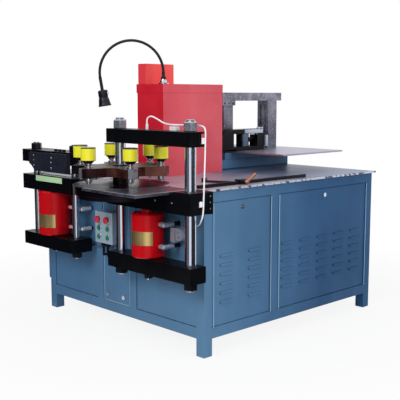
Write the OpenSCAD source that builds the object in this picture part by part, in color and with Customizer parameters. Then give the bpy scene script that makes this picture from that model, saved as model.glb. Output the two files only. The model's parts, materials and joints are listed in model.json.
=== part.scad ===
// Busbar processing machine. A steel cabinet carries a punching unit with a six station
// turret and a shearing unit on its front, and a bending unit on a raised table at the back.
// Millimetres, +Z up, the operator stands on the -Y side. The origin is on the floor, under
// the middle of the front right leg.

/* [Cabinet] */
// Width of the cabinet over its legs
cab_w = 1440; // [1400:10:1700]
// Depth of the cabinet over its legs
cab_d = 1500; // [1480:10:1800]
// Height of the table's top face above the floor
table_h = 890; // [850:5:950]
// Thickness of the table plate
table_t = 10; // [6:1:16]
// Overhang of the table plate past the legs
table_over = 18; // [5:1:30]
// Side of the square legs and rails
leg = 60; // [50:2:70]
// Wall of the square tubes and of the raised table's box
tube_t = 4; // [2:0.5:8]
// Height of the lower rails above the floor
skirt_z = 95; // [60:5:150]
// Depth of the front top rail, below the table
front_rail_h = 110; // [90:5:140]
// Thickness of the panels' sheet
sheet = 2; // [1:0.5:3]
// Depth of the panels' folded edges
panel_fold = 20; // [12:1:30]
// Distance from the frame's face back to the panels
panel_recess = 5; // [2:1:10]
// Gap around each panel
panel_gap = 3; // [1:0.5:5]
// Height of the left cover's lower edge above the floor
left_cover_z = 190; // [150:5:260]
// Radius of the barrels of the panels' locks
lock_r = 9; // [6:0.5:11]

/* [Tank, pump and valves] */
// Distance from the cabinet's left face to the tank
tank_in = 420; // [380:5:450]
// Width of the tank
tank_w = 620; // [560:10:680]
// Depth of the tank
tank_d = 420; // [380:10:440]
// Height of the tank
tank_h = 300; // [240:5:320]
// Wall of the tank
tank_wall = 4; // [3:0.5:6]
// Thickness of the tank's lid
tank_lid = 6; // [4:1:10]
// Radius of the pump motor's housing
motor_r = 84; // [70:1:90]
// Length of the pump motor's housing
motor_len = 214; // [180:2:220]

/* [Louvres] */
// Length of one louvre
louvre_len = 96; // [60:2:120]
// Radius of the louvre's hood
louvre_r = 10; // [6:0.5:14]
// Distance between the rows of louvres
louvre_pitch = 50; // [36:1:60]
// Number of louvres in a column
louvre_rows = 6; // [3:1:8]

/* [Punching unit] */
// Distance from the cabinet's right face to the turret's column
turret_in = 556; // [520:2:600]
// Distance of the right column past the cabinet's right face
column_out = 7; // [0:1:12]
// Distance from the cabinet's front to the columns' centre line
press_out = 102; // [100:1:130]
// Radius of the punching unit's columns
column_r = 29.5; // [24:0.5:32]
// Depth of the top beam
beam_d = 96; // [80:2:100]
// Height of the top beam
beam_t = 75; // [60:1:90]
// Depth of the bottom plate
bottom_d = 108; // [90:2:116]
// Thickness of the bottom plate
bottom_t = 85; // [60:1:100]
// Height of the fixed press body
body_t = 112; // [100:1:130]
// Radius of the red punching cylinder
punch_cyl_r = 88; // [76:1:94]
// Length of the red punching cylinder
punch_cyl_len = 237; // [200:1:260]
// Length of the neck between the cylinder and the press body
neck_len = 25; // [15:1:40]
// Thickness of the work plate
plate_t = 15; // [10:1:20]
// Distance that the work plate reaches in front of the cabinet
plate_out = 378; // [372:1:420]
// Width of the work plate
plate_w = 448; // [440:2:470]

/* [Turret] */
// Radius from the turret's axis to the punches
station_r = 230; // [226:1:236]
// Angle of the first station from the working line
station_phase = -25; // [-27:1:-25]
// Radius of the die disc
disc_r = 262; // [260:1:270]
// Thickness of the die disc
disc_t = 50; // [40:1:56]
// Distance from the table's top face down to the die disc's top face
disc_drop = 2; // [1:0.5:5]
// Gap between the die disc and the punch disc
throat = 50; // [44:1:60]
// Thickness of the punch disc
head_t = 50; // [40:1:60]
// Radius of the arms' ends on the punch disc
arm_r = 266; // [260:1:272]
// Radius of the bottom of the notches between the arms
notch_r = 165; // [140:1:180]
// Half of the width of an arm's end
arm_half = 35; // [28:1:40]
// Radius of the yellow pressure pads
pad_r = 39.5; // [34:0.5:40]
// Height of the yellow pressure pads
pad_h = 62; // [50:1:70]
// Radius of the punch guides
guide_r = 20; // [16:0.5:24]
// Travel of a punch
punch_stroke = 25; // [15:1:25]
// Gap between the punches' caps and the top beam
beam_gap = 18; // [12:1:30]

/* [Shearing unit] */
// Distance from the cabinet's front to the front of the shear's plates
shear_out = 180; // [175:1:190]
// Depth of the shear's plates
shear_d = 144; // [136:1:146]
// Distance from the cabinet's right face to the right end of the shear
shear_in = 926; // [905:1:935]
// Width of the shear's plates
shear_w = 519; // [500:1:540]
// Height of the shear's fixed body
shear_body_t = 91; // [80:1:110]
// Height of the shear's top beam
shear_beam_t = 75; // [60:1:90]
// Thickness of the shear's bottom plate
shear_bottom_t = 79; // [60:1:100]
// Gap between the shear's body and its top beam
shear_gap = 78; // [70:1:90]
// Radius of the shear's columns
shear_column_r = 22; // [18:0.5:24]
// Radius of the red shearing cylinder
shear_cyl_r = 99; // [90:1:101]
// Length of the red shearing cylinder
shear_cyl_len = 269; // [230:1:290]
// Opening between the shear's blade holders
shear_throat = 25; // [15:1:30]

/* [Red cabinet and lamp] */
// Width of the red electric cabinet
red_w = 238; // [200:2:260]
// Depth of the red electric cabinet
red_d = 494; // [460:2:500]
// Height of the red electric cabinet above the table
red_h = 547; // [450:1:600]
// Height of the smaller box on the red cabinet
top_box_h = 122; // [90:2:150]
// Overlap of the lid's rim on the red cabinet
lid_lap = 52; // [30:1:70]
// Radius of the lamp's bend
lamp_bend = 188; // [150:1:200]
// Radius of the lamp's flexible arm
lamp_arm_r = 8; // [6:0.5:10]

/* [Bending unit] */
// Height of the raised table's body
riser_h = 110; // [90:1:130]
// Thickness of the rear work plate
rear_plate_t = 10; // [6:1:14]
// Height of the portal above the raised table
portal_h = 389; // [330:1:420]
// Height of the bending tool
bender_h = 140; // [120:1:160]
// Travel of the bending ram
bend_stroke = 70; // [40:1:72]

/* [Rail and stop] */
// Length of the guide rail
rail_len = 880; // [800:5:900]
// Width of the guide rail
rail_w = 18; // [14:0.5:20]
// Height of the guide rail
rail_h = 18; // [14:0.5:20]
// Length of the stop's clamp along the rail
stop_len = 62; // [50:1:80]
// Height of the stop's clamp above the table
clamp_h = 26; // [24:0.5:34]
// Length of the clamp's lever
lever_len = 88; // [60:2:110]

/* [Control box] */
// Width of the control box
box_w = 164; // [140:2:180]
// Height of the control box
box_h = 184; // [160:2:200]
// Depth of the control box
box_d = 50; // [40:1:60]

/* [Hydraulics] */
// Radius of the hoses
hose_r = 11; // [8:0.5:12]
// Length of the crimped sleeves on the hoses
crimp_len = 62; // [40:1:70]
// Distance that a cylinder's oil port stands out
port_out = 10; // [6:1:14]
// Radius of the relief valve's cap
valve_r = 34; // [28:0.5:38]

/* [Fits] */
// Radial clearance of sliding and turning fits
fit = 0.05; // [0.02:0.01:0.1]
// Small gap between faces that move past each other
gap = 0.3; // [0.2:0.1:0.6]
// Gap around the die disc in the table
pocket_gap = 4; // [2:0.5:6]

/* [Hidden] */
$fn = 48;

// Faces of the cabinet
right = leg / 2;
left = right - cab_w;
front = -leg / 2;
back = front + cab_d;
frame_top = table_h - table_t;
rail_top = skirt_z + leg;
side_top = frame_top - leg;
front_top = frame_top - front_rail_h;
side_post = front + 553;
front_posts = [right - 588, right - 898];
panel_face = front + panel_recess;

// Openings that the covers fill, and their locks
panel_z = rail_top + panel_gap;
side_cover_h = side_top - 2 * panel_gap - rail_top;
side_lock_z = side_cover_h - 38;
front_cover_h = front_top - 2 * panel_gap - rail_top;
front_lock_z = 40;
cover_front_y = front + leg + panel_gap;
cover_front_w = side_post - leg / 2 - front - leg - 2 * panel_gap;
cover_back_y = side_post + leg / 2 + panel_gap;
cover_back_w = back - leg - side_post - leg / 2 - 2 * panel_gap;
front_cover_x = front_posts[1] + leg / 2 + panel_gap;
front_cover_w = front_posts[0] - front_posts[1] - leg - 2 * panel_gap;
front_locks = [front_cover_x + 34, front_cover_x + front_cover_w - 58];
lock_rim = lock_r + 4;

// Tank, pump motor and valve block
tank_x = left + tank_in;
tank_y = front + 560;
tank_rim = 15;
tank_top = rail_top + tank_h + tank_lid;
motor_x = tank_x + 190;
motor_y = tank_y + 220;
motor_foot = 16;
valve_x = tank_x + 380;
valve_y = tank_y + 120;
coil_r = 18;

// Levels of the turret
disc_top = table_h - disc_drop;
disc_bottom = disc_top - disc_t;
head_bottom = disc_top + throat;
head_top = head_bottom + head_t;
base_top = disc_bottom - gap;
base_t = 21;
base_r = disc_r - 17;
cap_h = 8;
cone_h = 14;
neck_z = head_top + punch_stroke + 2;
pad_z = neck_z + cone_h;
punch_top = pad_z + pad_h + cap_h;
nose_z = disc_top + punch_stroke + 2;
root_angle = 21;
die_r = 27;
die_h = 22;
die_holes = [5.5, 7, 8.5, 10, 11.5, 13];

// Levels of the punching unit
body_z = table_h - body_t;
punch_cyl_top = body_z - neck_len;
punch_cyl_z = punch_cyl_top - punch_cyl_len;
ram_gap = 3;
bottom_z = punch_cyl_z - ram_gap - bottom_t;
beam_z = punch_top + beam_gap;
beam_top = beam_z + beam_t;
plate_z = disc_top - plate_t;
piston_t = 40;
column_nut_h = 48;
bottom_nut_h = 40;
thread_over = 6;

// Places of the punching unit
press_y = front - press_out;
turret_x = right - turret_in;
column_x = right + column_out;
punch_columns = [turret_x, column_x];
ram_x = turret_x + station_r;
press_left = turret_x - 54;
press_right = column_x + 58;
body_front = press_y - 56;
beam_front = press_y - 55;
step_x = right - 87;
block_x = right - 65;
body_bolts = [right - 204, right - 76];
rod_r = 32;
piston_r = punch_cyl_r - 16;

// Levels and places of the shearing unit
shear_front = front - shear_out;
shear_back = shear_front + shear_d;
shear_y = shear_front + shear_d / 2;
shear_ram_y = front - shear_cyl_r - 9;
shear_right = right - shear_in;
shear_left = shear_right - shear_w;
shear_ram_x = (shear_left + shear_right) / 2 - 20;
shear_columns = [shear_left + 50, shear_right - 57];
shear_body_z = disc_top - shear_body_t;
shear_body_top = shear_body_z + shear_body_t;
shear_beam_z = shear_body_top + shear_gap;
shear_cyl_z = shear_body_z - shear_cyl_len;
shear_bottom_z = shear_cyl_z - ram_gap - shear_bottom_t;
shear_nut_h = 36;
cap_screws = [for (n = [0 : 2]) shear_right - 190 + n * 42];

// The left column ends in the bottom plate, the right one goes through it to a nut
shear_feet = [shear_bottom_z + 20, shear_bottom_z - shear_nut_h - thread_over];

// Shear blades and their holder
lower_tool_h = 5;
shear_upper_z = shear_body_top + lower_tool_h + shear_throat;
blade_y = shear_front + 34;
blade_t = 16;
blade_left = shear_left + 132;
blade_right = shear_right - 88;
holder_left = shear_left + 112;
holder_t = 24;
holder_front = shear_front - holder_t;

// Red cabinet and lamp
red_right = right - 640;
red_left = red_right - red_w;
red_front = front + 285;
red_top = table_h + red_h;
lid_out = 4;
top_box_w = 72;
top_box_front = red_front + 8;
top_box_back = red_front + 232;
lamp_x = right - 681;
lamp_y = front + 324;
lamp_angle = 226.4;
lamp_foot = 32;
lamp_rise = 33;
lamp_lean = 9;
lamp_drop = 80;

// Raised table and portal
riser_right = right - 700;
riser_left = riser_right - 480;
riser_front = front + 873;
riser_apron = riser_front - 93;
riser_back = back - 1;
riser_top = table_h + riser_h;
riser_step = riser_top - 45;
rear_top = riser_top + rear_plate_t;
plate_right = right - 255;
plate_back = back + 30;
portal_right = right - 752;
portal_w = 100;
portal_left = portal_right - portal_w;
upright_d = 88;
upright_front = front + 905;
upright_back = front + 1345;
portal_beam_h = 54;
portal_top = riser_top + portal_h;

// Bending tool
bender_right = right - 655;
bender_w = 88;
bender_left = bender_right - bender_w;
bender_x = bender_right - bender_w / 2;
bender_front = red_front + red_d + gap;
bender_bar = 28;
bender_low = rear_top + bender_bar;
bender_high = rear_top + bender_h - bender_bar;
window_front = bender_front + 118;
window_back = window_front + bend_stroke + 44;
bender_back = window_back + 182;
ram_z = rear_top + bender_h / 2;
ram_front = window_back - 12;
ram_r = 16;
rod_end = bender_back + 53;

// Control box on the front cover, and the leads under it
box_x = right - 866;
box_z = table_h - 375;
box_y = front - 4;
box_mid = box_x + box_w / 2;
button_columns = [box_mid - 41, box_mid + 41];
stop_row = box_z + 140;
start_rows = [box_z + 88, box_z + 36];
stem_r = 11;
gland_x = [box_mid - 37, box_mid + 5];
gland_y = box_y - box_d / 2;
gland_h = 22;
lead_r = 7;
lead_z = box_z - 75;

// Rail and stop on the table
rail_x = right - 78;
rail_y = front + 20;
stop_y = front + 320;
clamp_wall = 14;
clamp_x = rail_x + rail_w + clamp_wall;
screw_y = stop_y + stop_len / 2;
screw_z = table_h + 14;
screw_r = 5;

// Oil ports as shares of each cylinder's length, the hose ends, and the relief valve
punch_ports = [0.27, 0.77];
shear_ports = [0.18, 0.63];
shear_port_y = 38;
punch_port_x = ram_x + punch_cyl_r + port_out;
shear_port_x = shear_ram_x + shear_cyl_r + port_out;
punch_elbow_x = punch_port_x + 32;
shear_elbow_x = shear_columns[1] + 6;
ports = concat(
    [for (h = punch_ports) [punch_port_x, press_y, punch_cyl_z + h * punch_cyl_len, punch_elbow_x]],
    [for (h = shear_ports)
        [shear_port_x, shear_ram_y + shear_port_y, shear_cyl_z + h * shear_cyl_len, shear_elbow_x]]
);
hose_ends = [for (p = ports) [p[3], p[2]]];
valve_at = [right - 148, punch_cyl_z + punch_cyl_len * 0.55];

// Route of the sensor cable from the plug on the beam to the hole in the right panel. Heights
// are above the table.
cable_r = 4;
cable_points = [
    [-296, -132, 332], [-296, -132, 350], [-288, -130, 365], [-264, -126, 371],
    [-228, -120, 358], [-190, -113, 340], [-150, -108, 332], [-100, -103, 331],
    [-50, -98, 331], [0, -94, 331], [50, -91, 331], [84, -90, 327], [98, -90, 313],
    [101, -90, 290], [100, -90, 260], [100, -91, 220], [100, -93, 160], [100, -96, 90],
    [100, -99, 30], [100, -101, -20], [100, -103, -70], [100, -106, -105], [97, -108, -125],
    [84, -104, -144], [62, -90, -160], [34, -70, -174], [4, -54, -184], [-26, -46, -192],
    [-42, -40, -197], [-49, -33, -200], [-50, -29, -200], [-50, -25.8, -200]
];

// A box given by two opposite corners
module block(low, high) translate(low) cube(high - low);

// A round bar along Z
module bar(at, r, len) translate(at) cylinder(r = r, h = len);

// A hexagonal nut, given by its width across flats
module nut(across, h) {
    cylinder(r = across / 2 / cos(30), h = h, $fn = 6);
}

// A folded sheet box: its face looks towards -Y and its back is open
module shell(size) difference() {
    cube(size);
    translate(sheet * [1, 1, 1]) cube([size[0] - 2 * sheet, size[1], size[2] - 2 * sheet]);
}

// A panel that stands on two feet
module tray(w, h) {
    shell([w, panel_fold, h]);
    for (x = [w * 0.15, w * 0.85]) translate([x - 10, sheet, -panel_gap])
        cube([20, panel_fold - sheet, panel_gap + sheet]);
}

// A louvre: a quarter round hood that is open below, in front of the plane y = 0
module louvre() difference() {
    intersection() {
        translate([-louvre_len / 2, 0, 0]) rotate([0, 90, 0]) cylinder(r = louvre_r, h = louvre_len);
        translate([-louvre_len / 2, -louvre_r, 0]) cube([louvre_len, louvre_r, louvre_r]);
    }
    translate([-louvre_len / 2 + sheet, 0, -1]) rotate([0, 90, 0])
        cylinder(r = louvre_r - sheet, h = louvre_len - 2 * sheet);
}

// A tray with columns of louvres and a round hole for its lock
module louvred_tray(w, h, columns, lock_z) difference() {
    union() {
        tray(w, h);
        for (x = columns, n = [0 : louvre_rows - 1])
            translate([x, 0, h * 0.18 + n * louvre_pitch]) louvre();
    }
    for (x = columns, n = [0 : louvre_rows - 1])
        translate([x - louvre_len / 2 + sheet, -1, h * 0.18 + n * louvre_pitch + 1])
            cube([louvre_len - 2 * sheet, sheet + 2, louvre_r - sheet - 2]);
    translate([w / 2, -1, lock_z]) rotate([-90, 0, 0]) cylinder(r = lock_r, h = sheet + 2);
}

module cabinet_frame() color("slategray") difference() {
    union() {
        for (x = [left, right - leg], y = [front, back - leg])
            block([x, y, 0], [x + leg, y + leg, frame_top]);
        for (x = [left, right - leg], z = [skirt_z, side_top])
            block([x, front + leg, z], [x + leg, back - leg, z + leg]);
        for (x = [left, right - leg])
            block([x, side_post - leg / 2, rail_top], [x + leg, side_post + leg / 2, side_top]);
        for (z = [skirt_z, side_top])
            block([left + leg, back - leg, z], [right - leg, back, z + leg]);
        block([left + leg, front, skirt_z], [right - leg, front + leg, rail_top]);
        block([left + leg, front, front_top], [right - leg, front + leg, frame_top]);
        for (x = front_posts)
            block([x - leg / 2, front, rail_top], [x + leg / 2, front + leg, front_top]);
    }
    for (x = [left, right - leg], y = [front, back - leg])
        hollow([x, y, 2], [x + leg, y + leg, frame_top + leg]);
    for (x = [left, right - leg], z = [skirt_z, side_top])
        hollow([x, front + tube_t, z], [x + leg, back - tube_t, z + leg]);
    for (z = [skirt_z, side_top])
        hollow([left + tube_t, back - leg, z], [right - tube_t, back, z + leg]);
    hollow([left + tube_t, front, skirt_z], [right - tube_t, front + leg, rail_top]);
    hollow([left + tube_t, front, front_top], [right - tube_t, front + leg, frame_top]);
    for (x = front_posts)
        hollow([x - leg / 2, front, skirt_z + tube_t], [x + leg / 2, front + leg, front_top + leg]);
    for (x = [left, right - leg])
        hollow([x, side_post - leg / 2, skirt_z + tube_t],
            [x + leg, side_post + leg / 2, side_top + leg / 2]);
    turret_pocket(disc_bottom - pocket_gap);
}

// The inside of a square tube given by two opposite corners
module hollow(low, high) block(low + tube_t * [1, 1, 1], high - tube_t * [1, 1, 1]);

// The round space that the die disc turns in
module turret_pocket(z) bar([turret_x, press_y, z], disc_r + pocket_gap, table_h);

// Fixed panels: two on the front, one on the back, one tray that hangs outside the frame on
// the left side, and the drip tray between the lower rails
module fixed_panels() color("steelblue") {
    wide = right - leg - front_posts[0] - leg / 2 - 2 * panel_gap;
    narrow = front_posts[1] - left - 1.5 * leg - 2 * panel_gap;
    difference() {
        translate([front_posts[0] + leg / 2 + panel_gap, panel_face, panel_z]) tray(wide, front_cover_h);
        for (hole = hose_ends) if (hole[0] > front_posts[0]) panel_hole(hole[0], hole[1], hose_r + 1);
    }
    difference() {
        translate([left + leg + panel_gap, panel_face, panel_z]) tray(narrow, front_cover_h);
        for (hole = hose_ends) if (hole[0] < front_posts[1]) panel_hole(hole[0], hole[1], hose_r + 1);
    }
    translate([left - table_over, back - 2, left_cover_z]) rotate([0, 0, -90])
        shell([cab_d - 4, table_over, frame_top - left_cover_z]);
    translate([right - leg - panel_gap, back - panel_recess, panel_z]) rotate([0, 0, 180])
        tray(cab_w - 2 * leg - 2 * panel_gap, side_cover_h);
    block([left + leg, front + leg, rail_top - sheet], [right - leg, back - leg, rail_top]);
}

// A round hole through a front panel, for a hose, a lead or a lock
module panel_hole(x, z, r) translate([x, front, z]) rotate([-90, 0, 0]) cylinder(r = r, h = leg);

module front_cover() color("steelblue") difference() {
    translate([front_cover_x, panel_face, panel_z]) tray(front_cover_w, front_cover_h);
    for (x = front_locks) panel_hole(x, panel_z + front_lock_z, lock_r);
    for (x = gland_x) panel_hole(x, lead_z, lead_r + 1);
}

module side_cover_front() color("steelblue")
    translate([right - panel_recess, cover_front_y, panel_z]) rotate([0, 0, 90])
        louvred_tray(cover_front_w, side_cover_h,
            [cover_front_w * 0.23, cover_front_w * 0.71], side_lock_z);

module side_cover_back() color("steelblue")
    translate([right - panel_recess, cover_back_y, panel_z]) rotate([0, 0, 90])
        louvred_tray(cover_back_w, side_cover_h,
            [for (n = [0 : 4]) cover_back_w * (0.093 + n * 0.194)], side_lock_z);

// A lock: a round slotted head outside, its barrel, and a cam behind the sheet
module lock() rotate([90, 0, 0]) {
    difference() {
        cylinder(r = lock_rim, h = 5);
        translate([-6, -1.5, 3]) cube([12, 3, 4]);
    }
    translate([0, 0, -18]) cylinder(r = lock_r - fit, h = 18);
    translate([-8, -8, -22]) cube([16, 34, 4]);
}

module cover_locks() color("silver") {
    for (x = front_locks)
        translate([x, panel_face, panel_z + front_lock_z]) rotate([0, 180, 0]) lock();
    for (y = [cover_front_y + cover_front_w / 2, cover_back_y + cover_back_w / 2])
        translate([right - panel_recess, y, panel_z + side_lock_z]) rotate([0, 0, 90]) lock();
}

module table_top() color("gray") difference() {
    block([left - table_over, front - table_over, frame_top],
        [right + table_over, back + table_over, table_h]);
    turret_pocket(0);
    block([press_left - gap, front - 60, 0], [press_right + gap, front, table_h + 1]);
    block([shear_left - 100, front - 60, 0], [shear_right + gap, front, table_h + 1]);
}

// Oil tank with a lid that stands over its walls, and a filler neck
module oil_tank() color("lightsteelblue") difference() {
    union() {
        block([tank_x, tank_y, rail_top], [tank_x + tank_w, tank_y + tank_d, rail_top + tank_h]);
        block([tank_x - tank_rim, tank_y - tank_rim, rail_top + tank_h],
            [tank_x + tank_w + tank_rim, tank_y + tank_d + tank_rim, tank_top]);
        bar([tank_x + 60, tank_y + 60, tank_top], 28, 40);
    }
    block([tank_x + tank_wall, tank_y + tank_wall, rail_top + tank_wall],
        [tank_x + tank_w - tank_wall, tank_y + tank_d - tank_wall, rail_top + tank_h - tank_wall]);
}

// The pump's motor stands on the tank: a bolted foot, a ribbed housing, a fan cover and a box
module pump_motor() color("dimgray") translate([motor_x, motor_y, tank_top]) difference() {
    union() {
        cylinder(r = motor_r + 16, h = motor_foot);
        translate([0, 0, motor_foot]) cylinder(r = motor_r, h = motor_len);
        for (a = [0 : 15 : 345]) rotate([0, 0, a])
            translate([motor_r - 4, -2, motor_foot + 24]) cube([16, 4, motor_len - 44]);
        translate([0, 0, motor_foot + motor_len]) cylinder(r = motor_r + 6, h = 34);
        translate([motor_r - 4, -40, 90]) cube([50, 80, 90]);
    }
    for (a = [45 : 90 : 315]) rotate([0, 0, a]) translate([motor_r + 8, 0, -1])
        cylinder(r = 4, h = motor_foot + 2);
}

// Three solenoid valves side by side on a block
module valve_block() color("darkgray") translate([valve_x, valve_y, tank_top]) {
    cube([180, 160, 90]);
    for (n = [0 : 2]) translate([15 + n * 55, 0, 90]) {
        translate([0, 45, 0]) cube([40, 70, 40]);
        for (y = [-20, 115]) translate([20, y, 20]) rotate([-90, 0, 0]) cylinder(r = coil_r, h = 65);
    }
}

// The red electric cabinet: a folded case with a lid and a smaller box on it
module electric_cabinet() color("crimson") difference() {
    block([red_left, red_front, table_h], [red_right, red_front + red_d, red_top - sheet]);
    block([red_left + sheet, red_front + sheet, table_h - 1],
        [red_right - sheet, red_front + red_d - sheet, red_top - 2 * sheet]);
}

module electric_cabinet_top() color("crimson") {
    difference() {
        block([red_left - lid_out - sheet, red_front - sheet, red_top - lid_lap],
            [red_right + sheet, red_front + red_d + sheet - gap, red_top]);
        block([red_left - lid_out, red_front, red_top - lid_lap - 1],
            [red_right, red_front + red_d, red_top - sheet]);
    }
    difference() {
        block([red_left, top_box_front, red_top],
            [red_left + top_box_w, top_box_back, red_top + top_box_h]);
        block([red_left + sheet, top_box_front + sheet, red_top - 1],
            [red_left + top_box_w - sheet, top_box_back - sheet, red_top + top_box_h - sheet]);
    }
}

// The lamp: a flanged foot, a flexible arm bent over in one plane, and a bell shaped head
module lamp_frame() translate([lamp_x, lamp_y, red_top]) rotate([0, 0, lamp_angle]) children();

module lamp_base() color("silver") lamp_frame() {
    rotate_extrude() polygon([
        [0, 0], [30, 0], [30, 6], [16, 9], [16, 12], [12, lamp_foot], [0, lamp_foot]]);
    translate([0, 0, 9]) cylinder(r = 20, h = 12, $fn = 6);
}

module lamp_arm() color("black") lamp_frame() {
    translate([0, 0, lamp_foot]) cylinder(r = lamp_arm_r + 1.5, h = lamp_rise + 6);
    translate([lamp_bend, 0, lamp_foot + lamp_rise]) rotate([90, 0, 0])
        rotate([0, 0, -lamp_lean]) rotate_extrude(angle = 180 + lamp_lean)
            translate([lamp_bend, 0]) circle(r = lamp_arm_r);
    lamp_end() translate([0, 0, -lamp_drop]) cylinder(r = lamp_arm_r + 1.5, h = lamp_drop + 6);
}

// The far end of the bend, with -Z along the arm
module lamp_end() translate([lamp_bend, 0, lamp_foot + lamp_rise]) rotate([0, lamp_lean, 0])
    translate([lamp_bend, 0, 0]) children();

module lamp_head() color("black") lamp_frame() lamp_end() translate([0, 0, -lamp_drop])
    rotate_extrude() polygon([[0, 0], [16, 0], [23, -6], [24, -36], [26, -42], [37, -80],
        [38, -87], [34, -87], [33, -84], [0, -84]]);

// Guide rail and stop on the table
module guide_rail() color("black")
    block([rail_x, rail_y, table_h], [rail_x + rail_w, rail_y + rail_len, table_h + rail_h]);

// The stop: a clamp that rides on the rail, and an arm with a small block at its end
module stop_clamp() color("black") {
    difference() {
        block([rail_x - clamp_wall, stop_y, table_h + 0.2],
            [clamp_x, stop_y + stop_len, table_h + clamp_h]);
        block([rail_x - fit, stop_y - 1, table_h],
            [rail_x + rail_w + fit, stop_y + stop_len + 1, table_h + rail_h + fit]);
        translate([clamp_x - 10, screw_y, screw_z]) rotate([0, 90, 0])
            cylinder(r = screw_r + fit, h = 20);
    }
    translate([rail_x - clamp_wall, stop_y + 20, table_h + 0.2]) rotate([0, 0, 205]) {
        translate([-10, -10, 0]) cube([210, 16, 12]);
        translate([180, -16, 0]) cube([26, 28, 24]);
    }
}

// A copper coloured lever that turns the clamping screw at the clamp's right side
module clamp_lever() color("peru") translate([clamp_x, screw_y, screw_z]) {
    translate([-10, 0, 0]) rotate([0, 90, 0]) cylinder(r = screw_r, h = 12);
    translate([gap, 0, 0]) rotate([0, 90, 0]) cylinder(r = 11, h = 16);
    translate([14, 0, 0]) rotate([-52, 0, 0]) rotate([0, 32, 0])
        cylinder(r1 = 7, r2 = 9, h = lever_len);
}

// The fixed body of the punching unit: a stepped block under the turret and the work plate,
// a round base below the die disc, and a mounting block against the cabinet
module punch_body() color("#15171a") difference() {
    union() {
        block([press_left, body_front, body_z], [step_x, front, base_top]);
        block([turret_x + disc_r + pocket_gap, body_front, body_z], [step_x, front - gap, plate_z]);
        block([step_x, body_front, body_z], [block_x, front, table_h - 4]);
        block([block_x, body_front, body_z], [press_right, front, table_h]);
        block([press_right - 1, front - 40, body_z], [press_right + 9, front - 8, body_z + 14]);
        intersection() {
            bar([turret_x, press_y, base_top - base_t], base_r, base_t);
            block([turret_x - base_r, press_y - base_r, body_z], [turret_x + base_r, front, base_top]);
        }
    }
    bar([turret_x, press_y, body_z - 1], column_r + fit, body_t + 2);
    bar([column_x, press_y, body_z - 1], column_r + fit, body_t + 2);
    bar([ram_x, press_y, body_z + 30], 17, body_t);
    for (x = body_bolts) translate([x, body_front - 1, body_z + 54])
        rotate([-90, 0, 0]) cylinder(r = 8, h = 13);
    for (z = [body_z + 26, body_z + 58, body_z + 90])
        translate([press_right + 1, front - 16, z]) rotate([0, -90, 0]) cylinder(r = 8, h = 13);
}

module work_plate() color("lightsteelblue") difference() {
    block([step_x - plate_w, front - plate_out, plate_z], [step_x - gap, front - gap, disc_top]);
    turret_pocket(0);
}

// A cylinder housing with a neck above, a flanged gland below and an oil space inside
module housing(x, y, z, r, len, neck_r, neck_h, port_y, levels) difference() {
    union() {
        translate([x, y, z]) rotate_extrude($fn = 64)
            polygon([[0, 0], [r - 6, 0], [r, 6], [r, len - 8], [r - 8, len], [0, len]]);
        if (neck_h > 0) bar([x, y, z + len], neck_r, neck_h);
        for (h = levels)
            translate([x, y + port_y, z + h * len]) rotate([0, 90, 0])
                cylinder(r = 14, h = r + port_out);
    }
    bar([x, y, z + 26], r - 16, len - 52);
    bar([x, y, z - 1], rod_r + fit, 30);
    for (h = levels)
        translate([x + r - 50, y + port_y, z + h * len]) rotate([0, 90, 0]) cylinder(r = 6, h = 90);
}

module punch_cylinder() color("red")
    housing(ram_x, press_y, punch_cyl_z, punch_cyl_r, punch_cyl_len, 34, neck_len, 0,
        punch_ports);

// A moving plate of a press, bored for its two columns
module press_plate(low, high, columns, y, r) difference() {
    block(low, high);
    for (x = columns) bar([x, y, low[2] - 1], r + fit, high[2] - low[2] + 2);
}

module punch_beam() color("#15171a") difference() {
    press_plate([press_left, beam_front, beam_z], [press_right, beam_front + beam_d, beam_top],
        punch_columns, press_y, column_r - 5);
    block([press_right - 22, press_y + 8, beam_z + 16],
        [press_right + 1, beam_front + beam_d + 1, beam_top - 10]);
    bar([ram_x, press_y, beam_top - 12], 5 + fit, 20);
}

module punch_bottom_plate() color("#15171a") difference() {
    press_plate([press_left, body_front, bottom_z],
        [press_right, body_front + bottom_d, bottom_z + bottom_t],
        punch_columns, press_y, column_r - 5);
    bar([ram_x, press_y, bottom_z - 1], 16 + fit, bottom_t + 2);
}

// Two columns with shouldered ends
module columns(xs, y, r, low, shoulder_low, shoulder_high, high) for (x = xs)
    translate([x, y, 0]) rotate_extrude($fn = 64) polygon([
        [0, low], [r - 7, low], [r - 5, low + 2], [r - 5, shoulder_low], [r, shoulder_low],
        [r, shoulder_high], [r - 5, shoulder_high], [r - 5, high - 2], [r - 7, high], [0, high]]);

// A piston, its rod and a threaded stub through the bottom plate
module ram(x, y, top, stub_low, plate_high, r) translate([x, y, 0])
    rotate_extrude($fn = 64) polygon([
        [0, stub_low], [16, stub_low], [16, plate_high], [rod_r, plate_high],
        [rod_r, top - piston_t], [r - fit, top - piston_t], [r - fit, top], [0, top]]);

module punch_rods() color("gainsboro") {
    columns(punch_columns, press_y, column_r, bottom_z - bottom_nut_h - thread_over,
        bottom_z + bottom_t, beam_z, beam_top + column_nut_h + thread_over);
    ram(ram_x, press_y, punch_cyl_top - 30, bottom_z - bottom_nut_h, bottom_z + bottom_t, piston_r);
}

// Nuts above and below, bored for the threaded ends
module nuts(xs, y, z, across, h, bore_r) for (x = xs) translate([x, y, z]) difference() {
    nut(across, h);
    translate([0, 0, -1]) cylinder(r = bore_r + fit, h = h + 2);
}

module punch_nuts() color("silver") {
    nuts(punch_columns, press_y, beam_top, 66, column_nut_h, column_r - 5);
    nuts(punch_columns, press_y, bottom_z - bottom_nut_h, 66, bottom_nut_h, column_r - 5);
    nuts([ram_x], press_y, bottom_z - bottom_nut_h + 8, 46, bottom_nut_h - 8, 16);
}

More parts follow.
